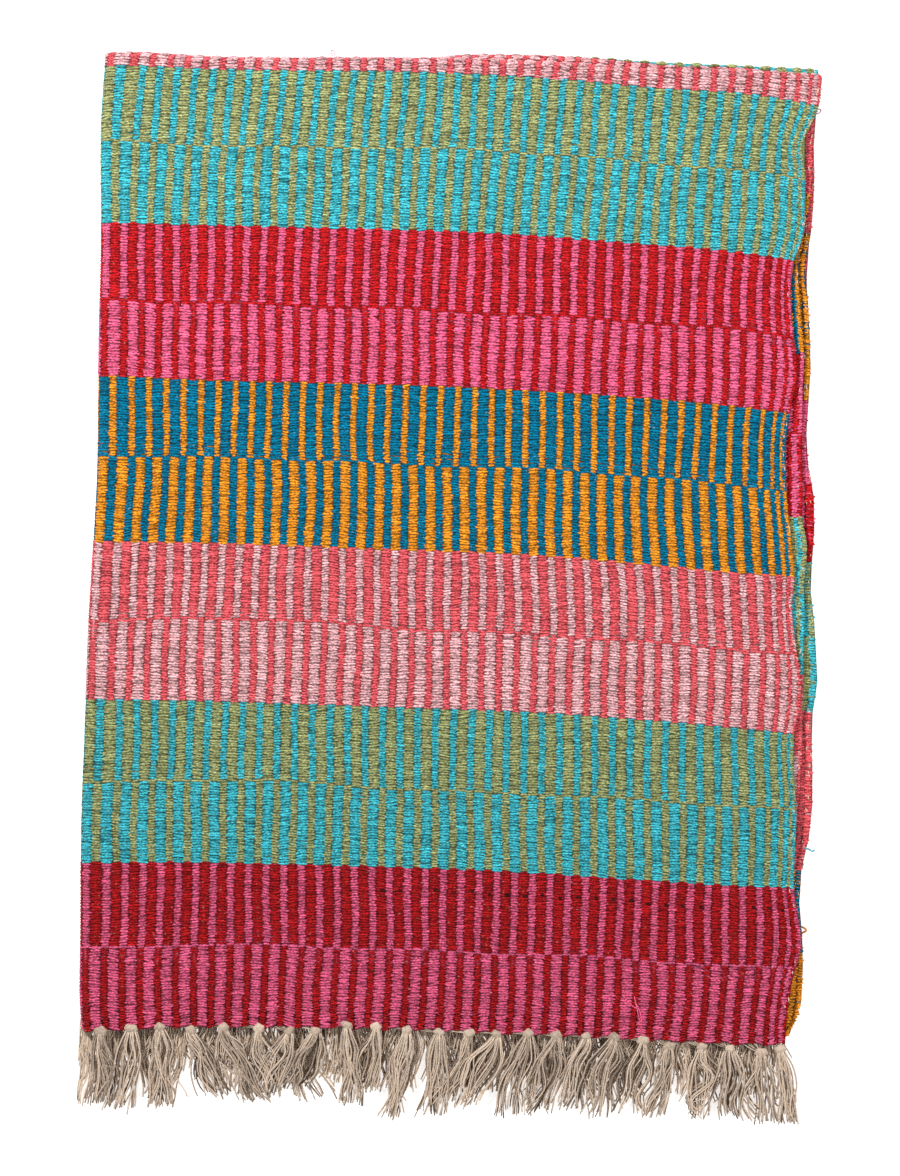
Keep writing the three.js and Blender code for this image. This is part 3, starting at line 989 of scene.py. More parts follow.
@dataclass
class Stitches:
    """Weft floats over the ribs, each a spindle that dips between its neighbours."""

    weave: Weave
    seed: int = 6755
    top: float = 2.0
    narrow_top: float = 1.92
    crest_rise: float = 1.3
    body: float = 1.6
    flank: float = 0.1
    # place along half a float, share of its height, share of its thickness
    wide_rings: tuple = ((-0.72, 0.9, 0.72), (0.0, 1.0, 1.0), (0.72, 0.9, 0.72))
    narrow_rings: tuple = ((-0.6, 0.9, 0.8), (0.6, 0.9, 0.8))
    patches: tuple = (
        Patch("front", -1.0, 663.0, 1, 0.0, 5.0),
        Patch("crest", 663.0, 1301.0, 1, -5.0, 16.0, True),
        # The last number of each lower patch brightens its floats: painted light
        Patch("inner_selvedge", 1250.0, 1301.0, 1, 16.0, 900.0, True, 1.08),
        Patch("under_front_selvedge", -1.0, 36.0, -1, 5.0, 900.0, True, 1.06),
        Patch("lowest_selvedge", 1262.0, 1301.0, -1, 0.0, -6.0, False, 1.04),
    )
    # A near-black pick that slipped into the first band: from and to over the width,
    # from and to where it shows most, place up the warp
    slipped: tuple = (12.0, 385.0, 95.0, 295.0, 132.0)
    # On the lower layers' drawn-in ribs one yarn of a pair mostly covers the other
    at_selvedge: dict = field(
        default_factory=lambda: {Yarn.PETROL: Yarn.ORANGE, Yarn.DUSTY: Yarn.SALMON}
    )
    laid: dict = field(default_factory=dict)

    def lay(self) -> None:
        """List every float of every patch, by its yarn."""
        rng = np.random.default_rng(self.seed)
        weave = self.weave
        fold = weave.fold
        pitches = weave.pitches
        centres = np.cumsum(pitches) - pitches / 2
        edge_sets = [weave.rib_edges(band) for band in range(len(fold.bands))]
        for patch in self.patches:
            for rib in np.flatnonzero((centres > patch.first) & (centres < patch.last)):
                crest = float(fold.crest_along(centres[rib : rib + 1])[0])
                low = patch.start + (crest if patch.from_crest else 0.0)
                high = patch.stop + crest if patch.stop < 800 else fold.length
                for band in range(len(fold.bands)):
                    left, right = edge_sets[band][rib : rib + 2]
                    self._lay_band(rng, patch, rib, band, (left, right), crest, (low, high))

    def _lay_band(
        self,
        rng: np.random.Generator,
        patch: Patch,
        rib: int,
        band: int,
        sides: tuple[float, float],
        crest: float,
        limits: tuple[float, float],
    ) -> None:
        """List one rib's floats in one band.

        Args:
            rng: source of the small unevenness.
            patch: the part of the cloth.
            rib: number of the rib.
            band: number of the band.
            sides: places of the rib's two edges.
            crest: distance of the crest line at this rib.
            limits: lowest and highest place up the warp that is laid.
        """
        weave = self.weave
        edges = weave.fold.edges
        centre = (sides[0] + sides[1]) / 2
        half = float(weave.half_line(np.array([centre]), band)[0])
        wide = bool(weave.is_wide(rib, band))
        half += (-1.0 if wide else 1.0) * weave.bridge[band] * weave.pick
        for upper, start, stop in ((False, edges[band], half), (True, half, edges[band + 1])):
            if stop < limits[0] or start > limits[1]:
                continue
            ends = weave.outer_distance(crest, np.array([start, stop]))
            count = max(1, round(float(ends[1] - ends[0]) / weave.pick))
            stagger = 0.27 if rib % 2 else -0.27
            steps = (np.arange(count) + 0.5) / count * (ends[1] - ends[0]) + ends[0]
            steps += stagger * weave.pick + rng.normal(0, 0.11, count)
            along = weave.along_from(crest, steps)
            kept = (along > limits[0]) & (along < limits[1])
            number = int(kept.sum())
            if not number:
                continue
            yarn = weave.yarn(band, upper, wide, patch.face)
            if patch.name.endswith("selvedge") and rng.random() < 0.8:
                yarn = self.at_selvedge.get(yarn, yarn)
            slant = rng.normal(0.0, 0.25) + rng.normal(0, 0.42, number)
            near_crest = np.exp(-(((along[kept] - crest) / 3.2) ** 2))
            rise = self.crest_rise * (1.0 if wide else 0.35)
            rows = np.stack(
                [
                    centre + rng.normal(0, 0.26, number),
                    along[kept],
                    (sides[1] - sides[0]) / 2 + yarn.value.reach + rng.normal(0, 0.55, number),
                    slant,
                    # Tone: the band's dye, random unevenness, and the patch's painted light on lower
                    # layers
                    weave.dye(band, yarn) * (1.07 + rng.normal(0, 0.14, number)) * patch.shade,
                    rng.normal(0, 0.05, number) + near_crest * rise,
                    rng.normal(0.1, 0.3, number),
                ],
                axis=1,
            )
            self.laid.setdefault((yarn, wide, patch.face), []).append(rows)
            first, last, strong, weak, place = self.slipped
            if (band, upper, wide, patch.face) == (0, True, True, 1) and first < centre < last:
                slip = rows[np.argmin(np.abs(along[kept] - place))][None].copy()
                if not (strong < centre < weak) and rng.random() < 0.4:
                    continue
                slip[0, 0] = centre - rng.uniform(0.8, 2.2)
                slip[0, 2] = rng.uniform(1.6, 3.2)
                slip[0, 4] = 1.0
                slip[0, 5] = 0.55
                self.laid.setdefault((Yarn.BLACK, False, 1), []).append(slip)

    def shape(self, rows: np.ndarray, yarn: Yarn, wide: bool, face: int) -> Shape:
        """Form the spindles of one yarn on one kind of rib.

        Args:
            rows: for each float its place across and along, half length, slant, tone,
                extra height and bow.
            yarn: the yarn.
            wide: whether they cross wide ribs.
            face: 1 or -1, the face of the cloth they lie on.

        Returns:
            The spindles as one shape.
        """
        rings = self.wide_rings if wide else self.narrow_rings
        top = self.top if wide else self.narrow_top
        count = len(rows)
        across, along, half, slant, tone, rise, bow = (rows[:, i : i + 1] for i in range(7))
        dip = yarn.value.ride
        # Painted shade: the hollow value darkens the colour at the float's ends and flanks, and not on
        # its ridge
        tip_shade = 0.3 if wide else 0.6
        places = [(-1.0, 0.0, dip, tip_shade)]
        for at, height, body in rings:
            crown = dip + (top - dip) * height
            low = dip + (crown - dip) * self.flank
            places += [
                (at, -self.body * body, low, 1.2),
                (at, 0.0, crown, 0.0),
                (at, self.body * body, low, 1.2),
            ]
        places.append((1.0, 0.0, dip, tip_shade))
        at, aside, lift, hollow = (np.array(c)[None, :] for c in zip(*places))
        high = lift + rise * (1 - at**2)
        points = self.weave.fold.place(
            np.clip(across + at * half, 0.3, self.weave.fold.width - 0.3),
            along + aside + slant * at + bow * (1 - at**2),
            face * high,
        )
        points[:, 2] = np.maximum(points[:, 2], 0.05)
        size = 2 + 3 * len(rings)
        faces = [(0, 1, 2), (0, 2, 3), (0, 3, 1)]
        for ring in range(len(rings) - 1):
            a, b = 1 + 3 * ring, 4 + 3 * ring
            for i in range(3):
                j = (i + 1) % 3
                faces += [(a + i, b + i, b + j), (a + i, b + j, a + j)]
        last = 1 + 3 * (len(rings) - 1)
        tip = size - 1
        faces += [(tip, last + 1, last), (tip, last + 2, last + 1), (tip, last, last + 2)]
        order = np.array(faces)
        if face == -1:
            order = order[:, ::-1]
        starts = np.arange(count)[:, None, None] * size
        values = {
            "tone": np.broadcast_to(tone, (count, size)).ravel(),
            "hollow": np.broadcast_to(hollow, (count, size)).ravel(),
            "ridge": np.broadcast_to(hollow == 0.0, (count, size)).ravel(),
        }
        return Shape(points, [(starts + order[None]).reshape(-1, 3)], values)

    def build(self) -> list[bpy.types.Object]:
        """Make one joined piece of floats for each yarn.

        Returns:
            The pieces.
        """
        self.lay()
        pieces = []
        for yarn in Yarn:
            shapes = [
                self.shape(np.concatenate(rows), yarn, wide, face)
                for (owner, wide, face), rows in self.laid.items()
                if owner is yarn
            ]
            if not shapes:
                continue
            joined = join_shapes(shapes)
            name = f"floats_{yarn.value.label}"
            pieces.append(joined.piece(name, yarn.value.material()))
            log.info("%s: %d triangles", name, joined.triangles())
        return pieces


@dataclass
class Ground:
    """The doubled sheet under the floats, with its ribs in relief on both faces."""

    weave: Weave
    crown: float = 1.15
    hollow: float = 0.6
    bare_crown: float = 1.95
    # The underside starts past this place across, and ends this far before the crest
    bare_from: tuple = (668.0, 7.0)
    rows_per_band: int = 5
    band_seam: float = 0.4
    crest_rows: tuple = (-1.0, -0.75, -0.5, -0.25, 0.0, 0.25, 0.5, 0.75, 1.0)

    def build(self) -> bpy.types.Object:
        """Make the sheet.

        Returns:
            One closed mesh over the whole folded cloth.
        """
        fold = self.weave.fold
        rows = self._lines()
        bands = np.array([row[0] for row in rows])
        across = np.stack([self._columns(row[0]) for row in rows])
        along = np.stack([row[1](across[i]) for i, row in enumerate(rows)])
        height, width = across.shape
        is_crown = (np.arange(width) % 2 == 1)[None, :]
        crest = fold.crest_along(across.ravel()).reshape(height, width)
        # The underside that the blanket lies on has no floats, so its ribs stand higher
        bare = (across > self.bare_from[0]) & (along < crest - self.bare_from[1])
        shapes_points = []
        crevice_shades = []
        for face in (1, -1):
            crown = np.where(bare & (face == 1), self.bare_crown, self.crown)
            lift = np.where(is_crown, crown, self.hollow)
            shapes_points.append(fold.place(across, along, face * lift))
            # Painted shade: the rib edges get hollow 1 and the crowns 0.25, which the material darkens
            crevice_shades.append(np.where(np.broadcast_to(is_crown, lift.shape), 0.25, 1.0).ravel())
        index = np.arange(height * width).reshape(height, width)
        a, b, c, d = index[:-1, :-1], index[1:, :-1], index[1:, 1:], index[:-1, 1:]
        top = np.stack([a, b, c, d], axis=-1).reshape(-1, 4)
        low = np.stack([a, d, c, b], axis=-1).reshape(-1, 4) + height * width
        rims = []
        for line, flip in (
            (index[0], False),
            (index[-1], True),
            (index[:, 0], True),
            (index[:, -1], False),
        ):
            other = line + height * width
            rim = np.stack([line[:-1], line[1:], other[1:], other[:-1]], axis=-1)
            rims.append(rim[:, ::-1] if flip else rim)
        faces = [top, low, *rims]
        colours = self._colours(bands, across, along, [len(r) for r in rims])
        weave_map = np.stack(
            [np.broadcast_to(np.arange(width) / 2, across.shape), along / self.weave.pick],
            axis=-1,
        ).reshape(-1, 2)
        shape = Shape(np.concatenate(shapes_points), faces, {"hollow": np.concatenate(crevice_shades)})
        made = shape.piece(
            "woven_ground",
            RibGround().material(),
            corner_colours=colours,
            weave_map=np.concatenate([weave_map, weave_map]),
        )
        log.info("woven_ground: %d triangles", shape.triangles())
        return made

    def _columns(self, band: int) -> np.ndarray:
        """Place the grid lines of a band: each rib's edges and its crown.

        Args:
            band: number of the band.

        Returns:
            Their places across.
        """
        edges = self.weave.rib_edges(band)
        lines = np.empty(2 * len(edges) - 1)
        lines[::2] = edges
        lines[1::2] = (edges[:-1] + edges[1:]) / 2
        return lines

    def _lines(self) -> list:
        """List the grid's rows up the warp.

        Returns:
            For each row the number of its band, and a function that gives its place up
            the warp from places across.
        """
        fold = self.weave.fold
        edges = fold.edges
        middle_band = len(fold.bands) // 2
        rows = []

        def at(value: float) -> Callable:
            """Row at one distance all over the width."""
            return lambda across: np.full(len(across), value)

        def near_crest(share: float) -> Callable:
            """Row round the bend of the crest."""
            return lambda across: fold.crest_along(across) + share * fold.crest_bend

        def before_crest(seam: float) -> Callable:
            """Row beside the sixth band's edge, or just before the crest if that is nearer.

            Args:
                seam: how far past the edge it lies.

            Returns:
                A function of the places across.
            """
            limit = seam - 1.0 - fold.crest_bend
            return lambda across: np.minimum(
                edges[middle_band] + seam, fold.crest_along(across) + limit
            )

        for band in range(len(fold.bands)):
            start = edges[band] + (self.band_seam if band else 0)
            stop = edges[band + 1] - (self.band_seam if band < len(fold.bands) - 1 else 0)
            places = np.linspace(start, stop, self.rows_per_band + 1)
            if band == middle_band:
                rows.append((band, before_crest(self.band_seam)))
                rows += [(band, near_crest(share)) for share in self.crest_rows]
                places = places[1:] + 6
                places[-1] = stop
            if band == middle_band - 1:
                rows += [(band, at(float(place))) for place in places[:-1]]
                rows.append((band, before_crest(-self.band_seam)))
            else:
                rows += [(band, at(float(place))) for place in places]
        return rows

    def _colours(
        self, bands: np.ndarray, across: np.ndarray, along: np.ndarray, rims: list
    ) -> np.ndarray:
        """Give every face corner the colour of its rib.

        Args:
            bands: band of each grid row.
            across: places across of the grid.
            along: places along of the grid.
            rims: number of rim faces along each side of the sheet.

        Returns:
            A linear colour for each corner, in the order of the faces.
        """
        weave = self.weave
        height, width = across.shape
        rib = np.arange(width - 1) // 2
        middle = (along[:-1, :-1] + along[1:, 1:]) / 2
        over = (across[:-1, :-1] + across[1:, 1:]) / 2
        faces = {face: np.empty((height - 1, width - 1, 4)) for face in (1, -1)}
        for row in range(height - 1):
            band = int(bands[row])
            wide = weave.is_wide(rib, band)
            upper = middle[row] > weave.half_line(over[row], band)
            for face, table in faces.items():
                for is_wide in (False, True):
                    for is_upper in (False, True):
                        chosen = (wide == is_wide) & (upper == is_upper)
                        yarn = weave.yarn(band, is_upper, is_wide, face)
                        colour = np.array(linear(yarn.value.colour))
                        colour[:3] *= weave.dye(band, yarn)
                        table[row, chosen] = colour
        top = np.repeat(faces[1].reshape(-1, 4), 4, axis=0)
        low = np.repeat(faces[-1].reshape(-1, 4), 4, axis=0)
        sides = [faces[1][0], faces[1][-1], faces[1][:, 0], faces[1][:, -1]]
        rim = [np.repeat(s.reshape(-1, 4), 4, axis=0) for s, count in zip(sides, rims)]
        return np.concatenate([top, low, *rim])


@dataclass
class Selvedges:
    """Turns of weft round the outermost warps, and specks of warp that show there."""

    weave: Weave
    seed: int = 1176
    pitch: float = 2.9
    radius: float = 0.95
    # share of the turns that the second yarn of a pair makes, by pair
    second_share: tuple = (0.45, 0.72, 0.3, 0.8)
    # distance in from the selvedge, lift
    turn: tuple = ((4.4, 1.3), (2.0, 1.25), (0.55, 0.6), (0.55, -0.6), (2.0, -1.05), (4.4, -1.05))

    def build(self) -> list[bpy.types.Object]:
        """Make one joined piece of turns for each yarn, and one of warp specks.

        Returns:
            The pieces.
        """
        rng = np.random.default_rng(self.seed)
        weave = self.weave
        fold = weave.fold
        edges = fold.edges
        count = int(fold.length / self.pitch)
        by_yarn: dict = {}
        for selvedge, inward in ((0.0, 1.0), (fold.width, -1.0)):
            along = (np.arange(count) + 0.5) / count * fold.length
            along = along + rng.normal(0, 0.25, count)
            band = np.clip(np.searchsorted(edges, along) - 1, 0, len(fold.bands) - 1)
            odd = rng.random(count) < np.array(self.second_share)[band % 4]
            size = 1 + rng.normal(0, 0.14, count)
            inset = np.array([t[0] for t in self.turn])[None, :] * inward
            out = np.where(inset * inward < 1, 1.0, 0.0) * rng.normal(0.1, 0.5, (count, 1))
            across = selvedge + inset - out * inward
            lift = np.array([t[1] for t in self.turn])[None, :] * np.ones((count, 1))
            skew = np.linspace(-0.5, 0.5, len(self.turn)) * rng.normal(0.8, 0.8, (count, 1))
            lines = fold.place(across, along[:, None] + skew, lift)
            lines = lines.reshape(count, len(self.turn), 3)
            radii = self.radius * size[:, None] * np.array([0.55, 0.95, 1.0, 1.0, 0.95, 0.55])
            for number in range(count):
                pair = weave.pairs[band[number] % len(weave.pairs)]
                yarn = pair[1] if odd[number] else pair[0]
                tone = weave.dye(band[number], yarn) * (1 + rng.normal(0, 0.1))
                by_yarn.setdefault(yarn, []).append((lines[number], radii[number], tone))
        pieces = []
        for yarn, rows in by_yarn.items():
            lines = np.stack([r[0] for r in rows])
            radii = np.stack([r[1] for r in rows])
            shape = tubes(lines, radii, 3, (0.0, 1.0, 0.0))
            shape.points[:, 2] = np.maximum(shape.points[:, 2], 0.05)
            per = len(shape.points) // len(rows)
            # The turns carry a little painted shade all over (hollow 0.1)
            shape.values = {
                "tone": np.repeat([r[2] for r in rows], per),
                "hollow": np.full(len(shape.points), 0.1),
            }
            name = f"selvedge_turns_{yarn.value.label}"
            pieces.append(shape.piece(name, yarn.value.material()))
            log.info("%s: %d triangles", name, shape.triangles())
        pieces.append(self._specks(rng))
        return pieces

    def _specks(self, rng: np.random.Generator) -> bpy.types.Object:
        """Make the bits of undyed warp that show between the outermost picks.

        Args:
            rng: source of the small unevenness.

        Returns:
            One joined piece.
        """
        fold = self.weave.fold
        count = 320
        along = rng.uniform(6, fold.length - 6, count)
        front = rng.random(count) < 0.5
        inset = rng.uniform(0.6, 4.2, count)
        across = np.where(front, inset, fold.width - inset)
        face = np.where(rng.random(count) < 0.5, 1.0, -1.0)
        length = rng.uniform(1.2, 2.6, count)
        steps = np.linspace(-1, 1, 3)[None, :]
        lines = fold.place(
            across[:, None] + 0.3 * steps,
            along[:, None] + steps * length[:, None],
            face[:, None] * (1.95 - 0.7 * steps**2),
        ).reshape(count, 3, 3)
        radii = np.array([0.35, 0.75, 0.35])[None, :] * np.ones((count, 1))
        shape = tubes(lines, radii, 3)
        shape.points[:, 2] = np.maximum(shape.points[:, 2], 0.05)
        tones = rng.normal(1.35, 0.08, count)
        shape.values = {"tone": np.repeat(tones, len(shape.points) // count)}
        log.info("selvedge_warp_specks: %d triangles", shape.triangles())
        return shape.piece("selvedge_warp_specks", UndyedWarp().material())


@dataclass(frozen=True)
class Tassel:
    """One knotted tassel: where its knot sits and where its strands end."""

    knot: tuple[float, float, float]
    tip: tuple[float, float, float]
    strands: int
    spread: float
    # Brightness of its strands: above 1 on the tassels behind, painted light that offsets the shade
    # they hang in
    shade: float
    edge: np.ndarray


@dataclass
class Fringe:
    """The knotted warp fringe of one woven end."""

    fold: Fold
    name: str
    along: float
    node: str
    seed: int
    knot_drop: float = 4.6
    strand_radius: float = 0.84
    steps: int = 14
    # The tassels that show in front, from the selvedge to the left fold:
    # x and y of the knot, x and y of the tips
    shown: tuple = ()
    drop: float = 66.0
    drop_spread: float = 6.0
    # The strands left of the fold turn in at this x
    far_left: float = -338.0
    # Heights that the tips sink to, on the upper and the lower layer of this end
    sunk: tuple = (7.5, 2.2)

    def tassels(self, rng: np.random.Generator) -> list[Tassel]:
        """Place every tassel of this end.

        Args:
            rng: source of the small unevenness.

        Returns:
            The tassels, from the front selvedge to the back one.
        """
        made = []
        for number in range(48):
            across = self.fold.first_tassel + self.fold.tassel_pitch * number
            sides = np.array([-9.0, -6.0, -3.0, 0.0, 3.0, 6.0, 9.0])
            spots = np.clip(across + sides, 1.0, self.fold.width - 1.0)
            edge = self.fold.place(spots, np.full(7, self.along), np.zeros(7))
            middle = edge[3]
            upper = across < self.fold.width / 2
            deep = self.sunk[0] if upper else self.sunk[1]
            if number < len(self.shown):
                knot_x, knot_y, tip_x, tip_y = self.shown[number]
                knot = (knot_x, knot_y - 0.8, middle[2] + 1.0)
                tip = (tip_x, tip_y, deep)
                made.append(Tassel(knot, tip, 30, rng.uniform(7.5, 9.5), 1.0, edge))
                continue
            drop = self.drop + self.drop_spread * math.sin(1.7 * number) + rng.normal(0, 3)
            sway = 9 * math.sin(2.3 * number) + rng.normal(0, 5)
            if abs(across - self.fold.width / 2) < 25:
                sway *= 0.3
            inset = 0.0
            if across > self.fold.width - 40 or across < 40:
                inset, sway = 7.0, -12.0
            knot = (middle[0] - inset + rng.normal(0, 1.5), middle[1] - self.knot_drop, middle[2] - 0.4)
            tip_y = max(middle[1] - drop, -489.0)
            # The tassels behind are painted lighter (1.18): painted light over the shade they hang in
            made.append(Tassel(knot, (middle[0] + sway, tip_y, deep), 22, 13.0, 1.18, edge))
        return made

    def build(self) -> bpy.types.Object:
        """Make the whole fringe of this end.

        Returns:
            One joined piece of knots and strands.
        """
        rng = np.random.default_rng(self.seed)
        shapes = []
        for tassel in self.tassels(rng):
            shapes.append(self._strands(tassel, rng))
            shapes.append(self._gathered(tassel, rng))
            shapes.append(self._knot(tassel, rng))
        shape = join_shapes(shapes)
        shape.points[:, 2] = np.maximum(shape.points[:, 2], 0.05)
        log.info("%s: %d triangles", self.name, shape.triangles())
        return shape.piece(self.name, UndyedWarp().material())

    def _strands(self, tassel: Tassel, rng: np.random.Generator) -> Shape:
        """Hang a tassel's strands from its knot.

        They leave the knot side by side, swing together in a few locks, and part at their ends; the
        deeper ones are painted darker, as painted shade.

        Args:
            tassel: the tassel.
            rng: source of the small unevenness.

        Returns:
            The strands as one shape.
        """
        count = tassel.strands
        knot, tip = np.array(tassel.knot), np.array(tassel.tip)
        t = np.linspace(0, 1, self.steps)[None, :]
        locks = 4
        lock = np.arange(count) % locks
        aside = (lock + 0.5) / locks * 2 - 1 + rng.normal(0, 0.3, count)
        depth = rng.choice([1.0, 0.0, -1.0], count, p=[0.4, 0.33, 0.27])
        stray = rng.random(count) < 0.14

        axis = knot[0] + (tip[0] - knot[0]) * t**1.15
        axis = axis + rng.normal(0, 2.2) * np.sin(rng.uniform(0, 6.28) + 5.0 * t) * t
        width = 3.4 + (tassel.spread - 3.4) * (1 - np.exp(-t / 0.2)) + 2.5 * t**2
        x = axis + aside[:, None] * width
        for amount, rate, spread in ((2.8, 5.5, 1.2), (0.8, 10.0, 2.0)):
            phases = rng.uniform(0, 2 * math.pi, locks)[lock] + rng.normal(0, 0.25, count)
            rates = rng.normal(rate, spread, locks)[lock] + rng.normal(0, 0.35, count)
            sizes = rng.normal(amount, 0.6 * amount, locks)[lock] + rng.normal(0, 0.35, count)
            swing = sizes[:, None] * np.sin(phases[:, None] + rates[:, None] * t)
            x = x + (swing - swing[:, :1]) * np.minimum(t * 3, 1)
        away = np.where(stray, rng.normal(0, 9.0, count), rng.normal(0, 1.6, count))
        x = x + away[:, None] * t**1.8
        x = np.where(x < self.far_left, self.far_left + 0.2 * (x - self.far_left), x)

        length = (knot[1] - 2.0 - tip[1]) * (1 - np.abs(rng.normal(0, 0.09, count)))
        length = length - np.where(stray, rng.uniform(0, 16, count), 0)
        y = knot[1] - 2.0 - length[:, None] * t
        hook = np.where(stray, rng.uniform(-4, 9, count), rng.normal(0, 1.4, count))
        y = y + hook[:, None] * np.maximum(t - 0.7, 0) ** 2 / 0.09

        sag = t * t * (3 - 2 * t)
        z = (knot[2] + 0.4) * (1 - sag) + tip[2] * sag
        z = z + depth[:, None] * (1.0 + 0.9 * t) + rng.normal(0, 0.45, (count, 1))
        lines = np.stack([x, y, np.maximum(z, self.strand_radius)], axis=-1)
        radii = self.strand_radius * (1 + rng.normal(0, 0.08, (count, 1))) * np.ones_like(t)
        radii[:, -1] *= 0.8
        shape = tubes(lines, radii, 3)
        # Painted shade: the deeper a strand lies, the darker its tone
        tone = tassel.shade * (0.87 + 0.17 * depth + rng.normal(0, 0.12, count))
        shape.values = {"tone": np.repeat(tone, self.steps * 3)}
        return shape

    def _gathered(self, tassel: Tassel, rng: np.random.Generator) -> Shape:
        """Draw the warps together from the woven edge into the knot.

        Args:
            tassel: the tassel.
            rng: source of the small unevenness.

        Returns:
            The short gathered warps as one shape.
        """
        knot = np.array(tassel.knot)
        count = len(tassel.edge)
        t = np.linspace(0, 1, 4)[None, :, None]
        start = tassel.edge + np.array([0.0, 1.2, -0.6]) + rng.normal(0, 0.3, (count, 3))
        end = knot[None, :] + rng.normal(0, 0.7, (count, 3))
        lines = start[:, None, :] * (1 - t) + end[:, None, :] * t
        lines[:, 1:3, 1] -= 0.5
        radii = np.full((count, 4), 0.72)
        shape = tubes(lines, radii, 3)
        shape.values = {"tone": np.repeat(rng.normal(0.85, 0.1, count), 12)}
        return shape

    def _knot(self, tassel: Tassel, rng: np.random.Generator) -> Shape:
        """Tie a tassel's knot: a round lump with the strand's turns across it.

        Args:
            tassel: the tassel.
            rng: source of the small unevenness.

        Returns:
            The knot as one closed shape.
        """
        around, rows = 16, 9
        azimuth = 2 * math.pi * np.arange(around) / around
        rise = math.pi * np.arange(1, rows) / rows
        lobe, twist = rng.uniform(0, 6.28), rng.choice([-1.0, 1.0])
        phi, theta = np.meshgrid(azimuth, rise)
        grooves = 1 + 0.11 * np.cos(4.4 * theta + twist * phi + lobe)
        size = np.array([5.3, 4.3, 3.2]) * (1 + rng.normal(0, 0.07, 3))
        ring = np.stack(
            [
                np.cos(theta) * size[0] * grooves,
                np.sin(theta) * np.cos(phi) * size[1] * grooves,
                np.sin(theta) * np.sin(phi) * size[2] * grooves,
            ],
            axis=-1,
        )
        tilt = rng.normal(0, 0.25)
        turned = ring.copy()
        turned[..., 0] = ring[..., 0] * math.cos(tilt) - ring[..., 1] * math.sin(tilt)
        turned[..., 1] = ring[..., 0] * math.sin(tilt) + ring[..., 1] * math.cos(tilt)
        poles = np.array([[size[0] * math.cos(tilt), size[0] * math.sin(tilt), 0.0]])
        points = np.concatenate([turned.reshape(-1, 3), poles, -poles]) + np.array(tassel.knot)
        index = np.arange((rows - 1) * around).reshape(rows - 1, around)
        after = np.roll(index, -1, axis=1)
        walls = np.stack([index[:-1], index[1:], after[1:], after[:-1]], axis=-1).reshape(-1, 4)
        first = np.full(around, (rows - 1) * around)
        start = np.stack([first, index[0], after[0]], axis=-1)
        close = np.stack([first + 1, after[-1], index[-1]], axis=-1)
        shape = Shape(points, [walls, start, close])
        shape.values = {"tone": np.full(len(points), rng.normal(0.9, 0.06))}
        return shape


@dataclass
class LooseThreads:
    """Stray ends and snags of the wefts that show here and there."""

    fold: Fold
    # height or 0 for on top, radius, then x and y of points along the thread
    threads: dict = field(
        default_factory=lambda: {
            Yarn.PINK: [
                (0, 0.6, (156.9, -370.4), (162.0, -377.0), (167.0, -381.6), (170.6, -383.2)),
                (0, 0.6, (167.9, -372.2), (170.5, -384.0), (172.4, -393.0), (174.6, -395.4),
                 (173.8, -389.0), (171.0, -381.0), (169.7, -379.6)),
            ],
            Yarn.DUSTY: [
                (0, 0.45, (63.9, 466.4), (76.0, 466.9), (89.0, 464.2), (102.0, 462.4)),
                (20.5, 0.6, (-107.0, 484.5), (-108.6, 488.6), (-106.4, 489.4), (-104.4, 485.0)),
                (6.5, 0.8, (316.0, -250.2), (320.6, -249.0), (322.6, -253.4), (318.4, -257.0)),
                (15.0, 0.6, (334.0, 437.0), (338.0, 436.2), (337.2, 433.4), (333.5, 432.6)),
            ],
            Yarn.RED: [
                (7.0, 0.8, (314.5, -247.0), (319.0, -246.0), (320.6, -250.6), (316.0, -253.6)),
                (18.0, 0.7, (323.0, 86.0), (326.6, 84.0), (326.2, 79.6), (322.4, 78.0)),
            ],
            Yarn.TURQUOISE: [
                (8.0, 0.8, (321.5, -237.0), (327.0, -238.4), (331.4, -240.6), (333.0, -239.0)),
                (15.5, 0.6, (315.0, 424.0), (320.4, 423.0), (321.0, 418.6), (316.0, 417.4)),
            ],
            Yarn.ORANGE: [
                (7.0, 1.0, (317.0, -309.6), (322.8, -310.2), (325.4, -313.2), (320.0, -316.0)),
            ],
        }
    )

    def build(self) -> list[bpy.types.Object]:
        """Make the stray threads, one joined piece for each yarn.

        Returns:
            The pieces.
        """
        pieces = []
        for yarn, threads in self.threads.items():
            joined = join_shapes([self._thread(*thread) for thread in threads])
            name = f"loose_thread_{yarn.value.label}"
            pieces.append(joined.piece(name, yarn.value.material()))
            log.info("%s: %d triangles", name, joined.triangles())
        return pieces

    def _thread(self, height: float, radius: float, *spots: tuple[float, float]) -> Shape:
        """Lay one thread.

        Args:
            height: its height, or 0 if it lies on the top of the cloth.
            radius: its radius.
            spots: x and y of points along it.

        Returns:
            The thread as one shape.
        """
        flat = np.array(spots)
        steps = np.linspace(0, len(flat) - 1, 4 * len(flat))
        places = np.arange(len(flat))
        x = smooth_through(places, flat[:, 0], steps)
        y = smooth_through(places, flat[:, 1], steps)
        z = np.full_like(x, height) if height else 4.5 + 15 * self.fold.stack_loft(x, y)
        line = np.stack([x, y, z], axis=-1)[None]
        shape = tubes(line, np.full(line.shape[:2], radius), 4)
        count = len(shape.points)
        shape.values = {"tone": np.full(count, 0.9), "hollow": np.zeros(count)}
        return shape


